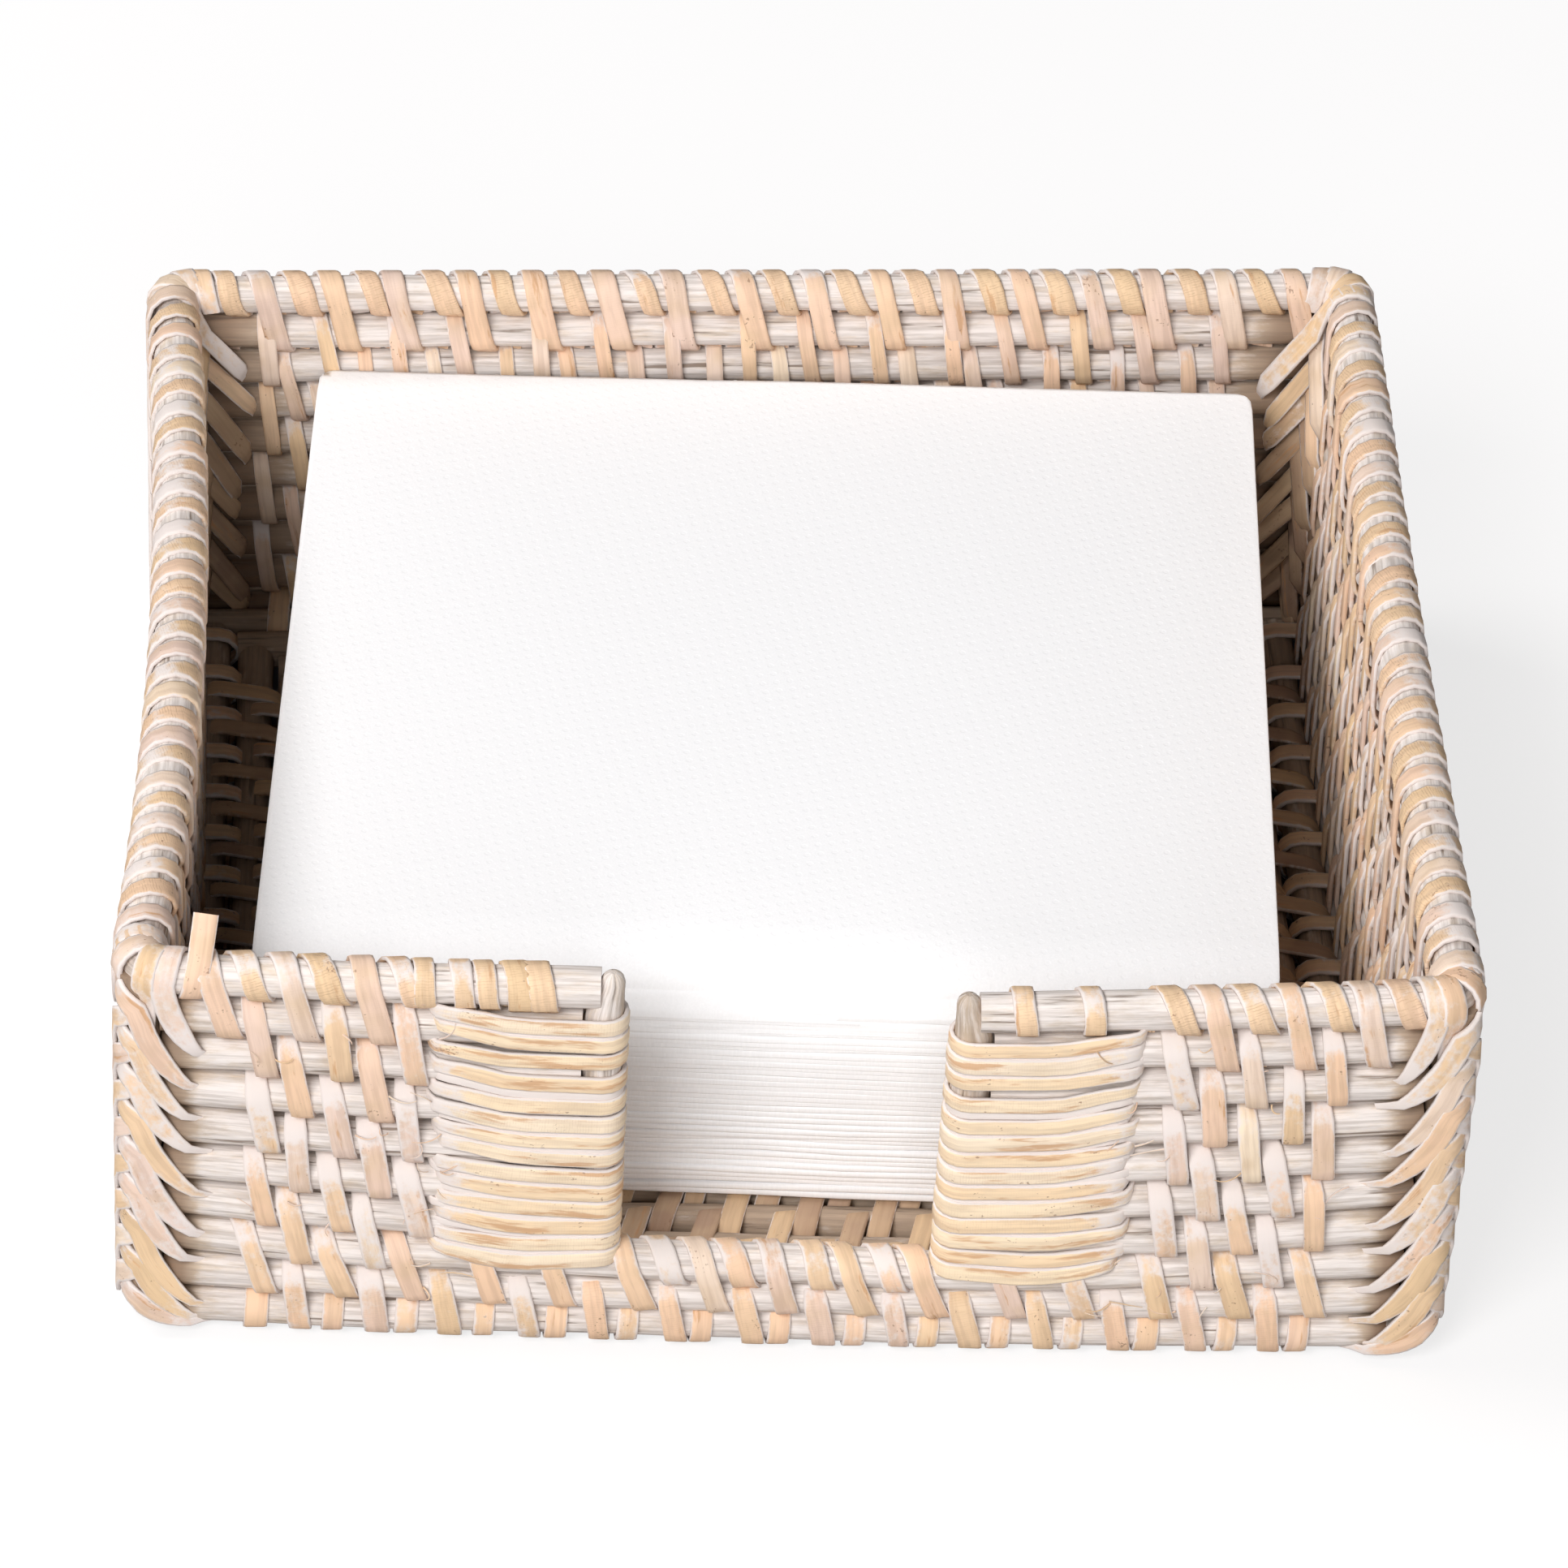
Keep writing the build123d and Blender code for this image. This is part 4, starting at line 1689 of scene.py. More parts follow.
@dataclass
class CornerLacing:
    """Leaf-shaped strips plaited over each corner's ridge, and strips that cross inside it."""

    sizes: TraySizes
    stock: Stock
    first_seed: int = 990
    width: float = 3.6 * MM
    reach: float = 3.62 * MM
    wash: Span = (0.2, 0.5)
    span: float = 10.8 * MM
    drop: float = 15.2 * MM
    foot_room: float = 2.2 * MM
    arm_lift: float = 0.25 * MM
    tip_tuck: float = 2.2 * MM
    leaf_rise: float = 2.0 * MM
    rim_lift: float = 0.15 * MM
    rim_start: Span = (6.8 * MM, 3.6 * MM)
    rim_width: Span = (0.8, 1.0)
    bend: float = 3.4 * MM
    arch_turns: Options = (-0.45, 0.4)
    arch_lift: float = 0.3 * MM
    arch_tail: Options = (0.95, 0.85, 0.7, 0.5)
    brace_width: float = 3.5 * MM
    brace_reach: float = 4.0 * MM
    brace_start: float = 5.5 * MM
    brace_end: float = 14.2 * MM
    brace_rows: Options = (-0.06, 0.0, 0.15, 0.35, 0.55, 0.75, 0.92, 1.0, 1.05)
    brace_sink: float = 3.0 * MM
    brace_tuck: float = 1.6 * MM
    over_lift: float = 0.2 * MM
    # depth below which the corner strips are darkened as painted shade
    painted_shade_depth: float = 0.22

    @property
    def floor_z(self) -> float:
        """Height of the bottom course."""
        return self.sizes.course_z[-1]

    def arm(self, start: float, z: float, rng: Random) -> tuple[Array, ...]:
        """The outer run of a leaf: steep at first, then flatter, and tucked in at its tip.

        Args:
            start: Distance from the corner's post to where the run starts.
            z: Height where the run starts.
            rng: Random source.

        Returns:
            Places along, out and up, the share of the run, and the width's share.
        """
        span = self.span * rng.uniform(0.88, 1.15)
        drop = min(self.drop * rng.uniform(0.9, 1.1), z - self.floor_z + self.foot_room)
        t = np.linspace(0.08, 1.0, 9)
        out = self.reach + self.arm_lift - smooth(0.72, 1.0, t) * self.tip_tuck
        along = start + (span - start) * t ** 1.5
        up = z - drop * (1 - (1 - t) ** 1.35)
        return along, out, up, t, 1.0 - 0.72 * smooth(0.35, 1.0, t)

    def leaf(self, arm: CornerArm, z: float, rng: Random) -> StripPath:
        """A strip that comes from under its neighbour on the ridge and runs down into one wall.

        Args:
            arm: The half of the corner that it runs into.
            z: Height where it leaves the ridge.
            rng: Random source.

        Returns:
            The strip.
        """
        steps = 5
        turn = np.radians(np.linspace(78.0, 8.0, steps))
        reach = self.reach + np.linspace(-0.45 * MM, 0.1 * MM, steps)
        rise = z + np.linspace(3.6 * MM, 0.5 * MM, steps)
        along, out, up, t, taper = self.arm(0.0, z, rng)
        tilt = 0.14 * smooth(0.0, 0.4, t)
        points = arm.points(
            chain(-np.sin(turn) * reach, along), chain(np.cos(turn) * reach, out), chain(rise, up))
        lie = arm.vectors(
            chain(-np.sin(turn), -0.8 * tilt), chain(np.cos(turn), np.ones_like(t)),
            chain(np.zeros(steps), tilt))
        wide = self.width * rng.uniform(0.9, 1.1)
        return self.painted(points, lie, wide * chain(np.linspace(1.0, 1.02, steps), taper), rng)

    def rim_leaf(self, arm: CornerArm, rng: Random) -> StripPath:
        """A strip that comes up inside the corner, over the rim and down the outside as a leaf.

        Args:
            arm: The half of the corner that it runs into.
            rng: Random source.

        Returns:
            The strip.
        """
        steps = 8
        turn = np.radians(np.linspace(205.0, 5.0, steps))
        z = self.sizes.z(1)
        reach = self.reach + self.rim_lift
        start = np.linspace(*self.rim_start, steps)
        along, out, up, t, taper = self.arm(self.rim_start[1], z, rng)
        points = arm.points(
            chain(start, along), chain(np.cos(turn) * reach, out), chain(z + np.sin(turn) * reach, up))
        lie = arm.vectors(
            np.zeros(steps + len(t)), chain(np.cos(turn), np.ones_like(t)),
            chain(np.sin(turn), np.zeros_like(t)))
        wide = self.width * rng.uniform(0.95, 1.1)
        return self.painted(points, lie, wide * chain(np.linspace(*self.rim_width, steps), taper), rng)

    def brace(self, first: CornerArm, second: CornerArm, z: float, rng: Random, over_rim: bool) -> StripPath:
        """A strip inside a corner, from near the post on one wall to lower down and further out on the other.

        Args:
            first: The half that it starts on.
            second: The half that it ends on.
            z: Height of its start.
            rng: Random source.
            over_rim: Whether it comes over the rim from outside.

        Returns:
            The strip.
        """
        low = max(z - self.drop * rng.uniform(0.85, 1.15), self.floor_z)
        reach = self.brace_reach + rng.uniform(-0.3 * MM, 0.4 * MM)
        start = self.brace_start * rng.uniform(0.8, 1.2)
        stop = self.brace_end * rng.uniform(0.88, 1.12)
        begin = first.points(np.array([start]), -reach, z)[0]
        end = second.points(np.array([stop]), -reach, low)[0]
        inward = unit(first.way + second.way)
        t = np.array(self.brace_rows)
        sink = self.brace_sink * smooth(0.8, 1.05, t)
        if not over_rim:
            sink = sink + self.brace_tuck * smooth(0.05, t[0], t)
        along = np.minimum(t, 1.02)[:, None]
        points = begin + along * (end - begin) - sink[:, None] * inward
        lie = np.tile(inward, (len(t), 1))
        wide = self.brace_width * rng.uniform(0.85, 1.08) * (1 - 0.6 * smooth(0.7, 1.05, t))
        if over_rim:
            turn = np.radians(np.linspace(-10.0, 165.0, 7))
            over = self.reach + self.over_lift
            run = np.full_like(turn, self.brace_start)
            loop = first.points(run, np.cos(turn) * over, self.sizes.z(1) + np.sin(turn) * over)
            points = chain(loop, points[2:])
            lie = chain(first.vectors(np.zeros_like(turn), np.cos(turn), np.sin(turn)), lie[2:])
            wide = chain(np.full_like(turn, wide[0]), wide[2:])
        strip = self.painted(points, lie, wide, rng)
        # painted shade: strips deep inside the corner take dark brown tones and less chalk, darker towards
        # the floor
        depth = (self.sizes.z(1) - z) / (self.sizes.z(1) - self.floor_z)
        if depth > self.painted_shade_depth:
            strip.tone = rng.uniform(0.0, 0.09)
        strip.wash += 0.1 - 0.75 * depth
        return strip

    def arch(self, arms: tuple[CornerArm, CornerArm], turn: float, rng: Random) -> StripPath:
        """A strip over the bend of the rim, from inside the corner to the ridge outside it.

        Args:
            arms: The corner's two halves.
            turn: How far its plane is turned from the corner's middle, in radians.
            rng: Random source.

        Returns:
            The strip.
        """
        straight = unit(arms[0].out + arms[1].out)
        way = np.array(Matrix.Rotation(turn, 3, "Z")) @ straight
        middle = arms[0].corner + self.bend * (arms[0].way + arms[1].way + way) + UP * self.sizes.z(1)
        angle = np.radians(np.linspace(220.0, -30.0, 11))
        over = np.cos(angle)[:, None] * way + np.sin(angle)[:, None] * UP
        reach = self.reach + self.arch_lift
        fall = np.linspace(2.5 * MM, 9.0 * MM, len(self.arch_tail))[:, None]
        tail = middle + over[-1] * reach - fall * UP - 0.12 * fall * way
        points = chain(middle + over * reach, tail)
        lie = chain(over, np.tile(way, (len(tail), 1)))
        wide = self.width * 1.1 * chain(np.linspace(*self.rim_width, len(over)), self.arch_tail)
        return self.painted(points, lie, wide, rng)

    def painted(self, points: Array, lie: Array, wide: Array, rng: Random) -> StripPath:
        """A strip with a tone of its own and chalk towards its ends.

        Args:
            points: Its middle line.
            lie: The side that it lies on.
            wide: Its widths.
            rng: Random source.

        Returns:
            The strip.
        """
        share = np.linspace(0, 1, len(points))
        ends = 0.3 * smooth(0.55, 1.0, share) + 0.2 * smooth(0.3, 0.0, share)
        wash = rng.uniform(*self.wash) + ends
        return StripPath(points, lie, wide, rng.uniform(0.1, 0.95), wash)

    def corner(self, first: Side, second: Side) -> None:
        """Laces one corner.

        Args:
            first: The front or the back wall.
            second: The left or the right wall.
        """
        sizes = self.sizes
        sides = list(Side)
        seed = self.first_seed + 10 * sides.index(first) + sides.index(second)
        bundle = StripBundle(f"corner_lacing_{first.label}_{second.label}", seed)
        rng, strips = bundle.rng, bundle.strips
        place = first.out * sizes.wall_y + second.out * sizes.wall_x
        arms = (CornerArm(place, -second.out, first.out), CornerArm(place, -first.out, second.out))
        courses = len(sizes.course_z)
        strips.extend(self.rim_leaf(arm, rng) for arm in arms)
        strips.extend(self.arch(arms, turn, rng) for turn in self.arch_turns)
        for course in range(2, courses + 1):
            z = sizes.z(course) + self.leaf_rise
            strips.append(self.leaf(arms[0], z, rng))
            if course < courses:
                strips.append(self.leaf(arms[1], z - sizes.pitch / 2, rng))
        for course in range(1, courses - 1):
            z = sizes.z(course) - 0.4 * sizes.pitch
            strips.append(self.brace(arms[1], arms[0], z, rng, course == 1))
            strips.append(self.brace(arms[0], arms[1], z - sizes.pitch / 2, rng, False))
        bundle.lay(self.stock)

    def dress(self) -> None:
        """Laces the four corners."""
        for first in (Side.FRONT, Side.BACK):
            for second in SIDE_WALLS:
                self.corner(first, second)


@dataclass
class NotchBand:
    """Close wraps of split cane that bind the cut rods beside the notch to their post."""

    sizes: TraySizes
    stock: Stock
    side: int
    name: str
    seed: int
    wraps: int = 14
    loose: int = 3
    slack: float = 1.9 * MM
    thickness: float = 0.75 * MM
    width: float = 2.95 * MM
    far_width: float = 0.86
    filler_width: float = 1.7 * MM
    filler_depth: float = 0.2 * MM
    filler_share: float = 0.75
    reach: float = 3.6 * MM
    lift: float = 0.14 * MM
    gather: float = 14.0 * MM
    far_change: float = 0.8 * MM
    far_rise: float = 1.8 * MM
    pairing: float = 0.4
    pair_gap: float = 1.3 * MM
    top_room: float = 0.2 * MM
    sill_room: float = 1.2 * MM
    post_room: float = 2.0 * MM
    run_rows_mm: Options = (0.6, 0.2, -0.6, -2.2, -4.5, -7.5, -11.0, -15.0)
    run_shares: Options = (0.3 / 3.6, 2.0 / 3.6, 3.1 / 3.6, 3.55 / 3.6, 1.0, 1.0, 1.0, 1.0)
    dive_along: Options = (0.95, 0.8, 0.45)
    dive_out: Options = (0.3, 0.6, 0.9)
    bowed: int = 4
    bow: float = 1.4 * MM
    stray: float = 0.12 * MM
    wash: Span = (-0.05, 0.22)

    @property
    def shift(self) -> float:
        """How far the notch lies off the wall's middle, counted away from it on this side."""
        return NOTCH_SHIFT * self.side

    def heights(self, number: int) -> tuple[float, float]:
        """Heights of a wrap on the post and where it enters the wall.

        Args:
            number: Place in the band, counted from the top.

        Returns:
            The two heights.
        """
        sizes = self.sizes
        top = sizes.z(1) - sizes.rod_radius - self.top_room
        bottom = sizes.z(sizes.sill) + self.sill_room
        down = (number + 0.5) / self.wraps
        near_z = top + (bottom - top) * down + self.slack * down
        near_z -= self.slack * smooth(self.loose - 0.5, self.loose + 0.5, np.array(float(number)))
        gap = number // 2 + 1
        gap_z = (sizes.z(gap) + sizes.z(gap + 1)) / 2 + (self.pair_gap if number % 2 == 0 else -self.pair_gap)
        return near_z, (1 - self.pairing) * (near_z + self.far_rise) + self.pairing * gap_z

    def wrap(self, number: int, rng: Random, filler: bool = False) -> StripPath:
        """One wrap, from its gap between two rods, round the post and back to the gap.

        Args:
            number: Place in the band, counted from the top.
            rng: Random source.
            filler: Whether it is the chalk that lies in the groove under the wrap instead.

        Returns:
            The strip.
        """
        plane = WallPlane(Side.FRONT, self.sizes)
        near_z, far_z = self.heights(number)
        if filler:
            next_near, next_far = self.heights(number + 1)
            near_z, far_z = (near_z + next_near) / 2, (far_z + next_far) / 2
        far = self.sizes.band_end_x + rng.uniform(-self.far_change, self.far_change) + self.shift
        post = self.sizes.notch_post_x + self.shift
        reach = self.reach + (-self.filler_depth if filler else rng.uniform(0, self.lift))
        run = np.array(self.run_rows_mm) * MM + far
        run = run[run > post + self.post_room]
        depth = np.array(self.run_shares)[:len(run)] * reach
        turn = np.radians(np.linspace(90, -90, 9))
        along = chain(run, post - np.cos(turn) * reach, run[::-1])
        out = chain(depth, np.sin(turn) * reach, -depth[::-1])
        gathered = 1 - smooth(far - self.gather, far, along)
        low_share = max(0.0, number - self.wraps + self.bowed) / (self.bowed - 1)
        arch = self.bow * low_share * np.sin(np.clip((along - post) / (far - post), 0, 1) * math.pi)
        up = far_z + (near_z - far_z) * gathered - arch + self.stray * wander(along, rng, 0.03)
        dive = len(self.dive_out)
        flat = np.ones(len(run) - dive)
        normal_out = chain(self.dive_out, flat)
        normal_along = chain(self.dive_along, 0.0 * flat)
        normal_out = chain(normal_out, np.sin(turn), -normal_out[::-1])
        normal_along = chain(normal_along, -np.cos(turn), normal_along[::-1])
        lie = unit(plane.vectors(normal_along * self.side, normal_out, np.zeros_like(out)))
        wide = self.width * rng.uniform(0.86, 1.06)
        wide = wide * (self.far_width + (1 - self.far_width) * smooth(0.0, 0.5, gathered))
        wash = rng.uniform(*self.wash) + 0.45 * (1 - gathered) ** 2
        if filler:
            wide, wash = wide * self.filler_width / self.width, np.ones_like(gathered)
        points = plane.points(along * self.side, out, up)
        return StripPath(points, lie, wide, rng.uniform(0, 1), wash, rng.uniform(0.0, 0.35))

    def dress(self) -> None:
        """Winds the band, and lays chalk in most of its grooves."""
        bundle = StripBundle(f"{self.name}_cane", self.seed, self.thickness)
        rng = bundle.rng
        bundle.strips.extend(self.wrap(number, rng) for number in range(self.wraps))
        closed = [n for n in range(self.wraps - 1) if n != self.loose - 1]
        grooves = [n for n in closed if rng.uniform() < self.filler_share]
        bundle.strips.extend(self.wrap(number, rng, True) for number in grooves)
        bundle.lay(self.stock, self.name)


@dataclass
class StrayFibres:
    """Thin fibres that have split off the cane on the front wall, most of them beside the bands."""

    sizes: TraySizes
    stock: Stock
    seed: int = 1300
    count: int = 44
    width: float = 0.24 * MM
    thickness: float = 0.2 * MM
    near_bands: float = 0.6
    band_side: float = 0.5 * MM
    scatter: float = 4.5 * MM
    corner_room: float = 8.0 * MM
    rim_room: float = 4.0 * MM
    lift: float = 0.3 * MM
    wash: Span = (-0.2, 0.5)

    def fibre(self, plane: WallPlane, rng: Random) -> StripPath:
        """One fibre.

        Args:
            plane: The front wall.
            rng: Random source.

        Returns:
            The strip.
        """
        edge = self.sizes.band_end_x
        side = rng.choice((-1.0, 1.0))
        along = side * rng.uniform(edge, plane.half_length - self.corner_room)
        if rng.uniform() < self.near_bands:
            along = side * (edge + rng.normal(self.band_side, self.scatter)) + NOTCH_SHIFT
        up = rng.uniform(self.sizes.z(self.sizes.sill + 1), self.sizes.z(1) - self.rim_room)
        t = np.linspace(0.0, 1.0, 6)
        run = rng.uniform(2.0 * MM, 6.0 * MM) * t
        heading = rng.uniform(-math.pi, math.pi)
        bend = heading + rng.uniform(-1.2, 1.2) * t
        out = self.sizes.rod_radius + self.lift + rng.uniform(0.4 * MM, 1.6 * MM) * np.sin(t * 2.2)
        points = plane.points(along + run * np.cos(bend), out, up + 0.7 * run * np.sin(bend))
        lie = plane.vectors(np.zeros_like(t), np.ones_like(t), np.full_like(t, 0.2))
        wide = self.width * rng.uniform(0.7, 1.3) * (1 - 0.5 * t)
        tone = rng.uniform(0.05, 1.0)
        return StripPath(points, lie, wide, tone, np.full_like(t, rng.uniform(*self.wash)))

    def dress(self) -> None:
        """Grows the fibres."""
        plane = WallPlane(Side.FRONT, self.sizes)
        bundle = StripBundle("stray_fibres", self.seed, self.thickness)
        bundle.strips.extend(self.fibre(plane, bundle.rng) for _ in range(self.count))
        bundle.lay(self.stock)


@dataclass
class NapkinPile:
    """Paper napkins, each one square sheet folded twice, with soft folds to the front."""

    seed: int = 1200
    turn: float = math.radians(-1.7)
    extra_turn: float = math.radians(-0.9)
    shift: Span = (0.3 * MM, 1.4 * MM)
    skew: float = 0.02
    flare: float = 0.011
    drift: float = 0.8 * MM
    length_share: float = 1.006
    back_rise: float = 1.4 * MM
    front_droop: float = 5.6 * MM
    roll_droop: float = 5.5 * MM
    roll_zone: float = 12.0 * MM
    lean_back: float = 1.0 * MM
    round_back: float = 3.2 * MM
    round_share: float = 0.36
    foot_flare: float = 1.4 * MM
    edge_rows: Options = (0.0, 0.004, 0.014, 0.03, 0.05)
    flat_steps: int = 11
    fold_steps: int = 6
    flat_step: Triple = (7.3 * MM, 4.1 * MM, 90.0 * MM)
    calm: Span = (0.25, 0.55)
    calm_share: float = 0.75
    press: float = 0.2
    ply_share: float = 0.31
    bulge: float = 0.35
    corner_radius: float = 3.0 * MM
    paper: float = 0.09 * MM
    sheet_gap: float = 0.1 * MM
    top_gap: float = 0.02 * MM
    nudge: float = 0.3 * MM
    stray: float = 0.25 * MM
    front_zone: float = 42.0 * MM
    stations: int = 41
    crown: float = 0.22 * MM
    ripple: float = 0.12 * MM
    ripple_waves: Span = (0.08, 0.11)
    ripple_slants: Span = (0.4, 0.3)

    def __post_init__(self) -> None:
        """Reads the pile's place and size from the frame."""
        low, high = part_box("top_napkin")
        self.top_low = low.z
        self.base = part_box("napkin_stack")[0].z
        self.pile = self.top_low - self.base
        self.centre = np.array(((low.x + high.x) / 2, (low.y + high.y) / 2, 0.0))
        self.side = (high.x - low.x) / (math.cos(self.turn) + abs(math.sin(self.turn)))
        self.thickness = high.z - low.z
        self.count = round(self.pile / (self.thickness + self.sheet_gap))

    def fold(self) -> tuple[Array, Array]:
        """The folded sheet, about its own middle, on a grid of its flat places.

        Returns:
            Grids of places and of flat places.
        """
        step = self.thickness * self.ply_share
        edge = np.array(self.edge_rows)
        flat = chain(edge, np.linspace(0.08, 0.92, self.flat_steps), 1 - edge[::-1])
        bend = np.linspace(0.0, math.pi, self.fold_steps + 2)[1:-1]
        phase = chain(np.zeros_like(flat), bend, np.full_like(flat, math.pi))
        reach = chain(flat, np.ones_like(bend), flat[::-1])
        first = (1.5 + 1.5 * np.cos(phase))[:, None]
        second = (1.5 + 0.5 * np.cos(phase))[:, None]
        half = self.side / 2
        along = -half + reach * self.side
        u_phase, v_phase = np.meshgrid(phase, phase, indexing="ij")
        level = (first + second) / 2 + (first - second) / 2 * np.cos(v_phase)
        bulge = self.bulge * step * (1.0 + 0.5 * np.cos(v_phase))
        y = -(along[:, None] + np.zeros_like(level)) - np.sin(u_phase) * bulge
        x = (along[None, :] + np.zeros_like(level)) + np.sin(v_phase) * step / 2
        places = np.stack((x, y, (level + 0.15) * step), axis=-1)
        past = np.clip(np.abs(places[..., :2]) - (half - self.corner_radius), 0.0, None)
        far = np.maximum(np.linalg.norm(past, axis=-1, keepdims=True), self.corner_radius)
        pull = np.where(past.min(-1, keepdims=True) > 0, self.corner_radius / far, 1.0)
        places[..., :2] -= np.sign(places[..., :2]) * past * (1 - pull)
        length = chain(flat, np.ones_like(bend), 2 - flat[::-1]) * self.side
        flat_u, flat_v = np.meshgrid(length, length, indexing="ij")
        return places, np.stack((flat_u, flat_v, np.zeros_like(flat_u)), axis=-1)

    def levels(self, rng: Random) -> Array:
        """Unevenness of the pile along its front edge.

        Args:
            rng: Random source.

        Returns:
            For each napkin, the share of the pile's height under it at each station.
        """
        along = np.linspace(-0.5, 0.5, self.stations) * self.side
        waves = [wander(along, rng, rng.uniform(0.06, 0.16), 2) for _ in range(self.count)]
        rows = np.clip(1.0 + 0.42 * np.array(waves), 0.35, 1.8)
        height = np.cumsum(rows, axis=0)
        return chain(np.zeros((1, len(along))), height[:-1]) / height[-1]

    def settled(self, places: Array) -> Array:
        """Lets a napkin's places follow the pile: its slope, its rolled front edge and its turn.

        Args:
            places: Rows of places, about the pile's middle.

        Returns:
            Rows of places in the tray.
        """
        points = places.copy()
        back = points[:, 1] / self.side + 0.5
        high = (points[:, 2] - self.base) / self.pile
        near = np.clip(1 - back * self.side / self.roll_zone, 0, 1)
        roll = high ** 2 * self.roll_droop * (1 - np.sqrt(1 - near ** 2))
        points[:, 2] += high * (self.back_rise * back - self.front_droop * (1 - back)) - roll
        upper = np.clip((high - 1) / self.round_share + 1, 0, 1)
        recede = self.round_back * (1 - np.sqrt(1 - upper ** 2)) + self.lean_back * high
        points[:, 1] += (recede - self.foot_flare * (1 - high)) * (1 - back)
        points[:, 0] = points[:, 0] * (1 + self.flare * (1 - back)) + self.drift * back
        points[:, 1] *= self.length_share
        points[:, 1] += self.skew * points[:, 0] * smooth(-self.side / 2, self.side / 2, points[:, 1])
        turn = np.array(Matrix.Rotation(self.turn + self.extra_turn, 3, "Z"))
        return points @ turn.T + self.centre + np.array((*self.shift, 0.0))

    def napkin(self, body: str, name: str, places: Array, flats: Array, material: Material) -> None:
        """Makes one napkin from its folded grid, with the paper's thickness.

        Args:
            body: The CAD body and node that it belongs to.
            name: Name of the piece.
            places: The grid of places, about the pile's middle.
            flats: The grid of flat places.
            material: The finish.
        """
        rows, columns = places.shape[:2]
        index = np.arange(rows * columns).reshape(rows, columns)
        corners = (index[:-1, :-1], index[1:, :-1], index[1:, 1:], index[:-1, 1:])
        quads = np.stack(corners, axis=-1).reshape(-1, 4)
        mesh = bpy.data.meshes.new(name)
        mesh.from_pydata(self.settled(places.reshape(-1, 3)).tolist(), [], quads.tolist())
        attribute = mesh.attributes.new("flat", "FLOAT_VECTOR", "POINT")
        attribute.data.foreach_set("vector", flats.astype(np.float32).ravel())
        mesh.polygons.foreach_set("use_smooth", np.ones(len(mesh.polygons), dtype=bool))
        mesh.materials.append(material)
        piece = add_piece(name, mesh)
        solid = piece.modifiers.new("paper", "SOLIDIFY")
        solid.thickness = self.paper
        solid.offset = 0.0
        settle(piece, body, "tissue_paper", body)

    def stacked(self, number: int, places: Array, level: Array, rng: Random) -> Array:
        """One napkin of the stack, pressed and nudged.

        Args:
            number: Place in the stack, counted from the bottom.
            places: The folded sheet.
            level: Share of the pile's height under it at each station of its front edge.
            rng: Random source.

        Returns:
            Its places.
        """
        sheet = places.copy()
        even = number / self.count
        near = smooth(self.front_zone - self.side / 2, -self.side / 2, sheet[..., 1])
        share = np.interp(sheet[..., 0], np.linspace(-0.5, 0.5, self.stations) * self.side, level)
        loose = 1 - self.calm_share * smooth(*self.calm, np.array(even))
        sheet[..., 2] *= 1 + self.press * (1 - loose) * near
        sheet[..., 1] -= np.minimum(sheet[..., 1] + self.side / 2, 0.0) * (1 - loose)
        sheet[..., 2] += self.base + self.pile * (even + (share - even) * near * 0.6 * loose)
        sheet[..., 2] = np.minimum(sheet[..., 2], self.top_low - self.top_gap)
        sheet[..., 0] += rng.uniform(-1, 1) * self.nudge
        stray = rng.uniform(-1, 1) * self.nudge + self.stray * wander(sheet[..., 0], rng, 0.09)
        sheet[..., 1] += stray * loose
        return sheet

    def crowned(self, places: Array, rng: Random) -> Array:
        """The napkin on top of the pile, a little crowned and rippled.

        Args:
            places: The folded sheet.
            rng: Random source.

        Returns:
            Its places.
        """
        sheet = places.copy()
        x, y = sheet[..., 0], sheet[..., 1]
        edge = np.max(np.abs(sheet[..., :2]), axis=-1) / (self.side / 2)
        ripple = wander(x + self.ripple_slants[0] * y, rng, self.ripple_waves[0])
        ripple = ripple + wander(y - self.ripple_slants[1] * x, rng, self.ripple_waves[1])
        upper_plies = sheet[..., 2] > self.thickness * 0.6
        sheet[..., 2] += self.top_low + self.crown * (1 - edge ** 4) + self.ripple * ripple * upper_plies
        return sheet

    def dress(self, material: Material) -> None:
        """Lays the pile and the napkin on top of it.

        Args:
            material: The finish.
        """
        rng = np.random.default_rng(self.seed)
        places, flats = self.fold()
        for number, level in enumerate(self.levels(rng)):
            sheet = self.stacked(number, places, level, rng)
            own_flats = flats + number * np.array(self.flat_step)
            self.napkin("napkin_stack", f"napkin_{number + 1:02d}", sheet, own_flats, material)
        self.napkin("top_napkin", "top_napkin_paper", self.crowned(places, rng), flats, material)


@dataclass(frozen=True)
class Lamp:
    """A square soft lamp that points at the tray."""

    name: str
    place: Triple
    power: float
    size: float = 0.8

    def build(self) -> None:
        """Hangs the lamp."""
        data = bpy.data.lights.new(self.name, "AREA")
        data.size = self.size
        data.energy = self.power
        lamp = bpy.data.objects.new(self.name, data)
        bpy.context.scene.collection.objects.link(lamp)
        lamp.location = self.place
        lamp.rotation_mode = "QUATERNION"
        lamp.rotation_quaternion = (-Vector(self.place)).to_track_quat("-Z", "Y")


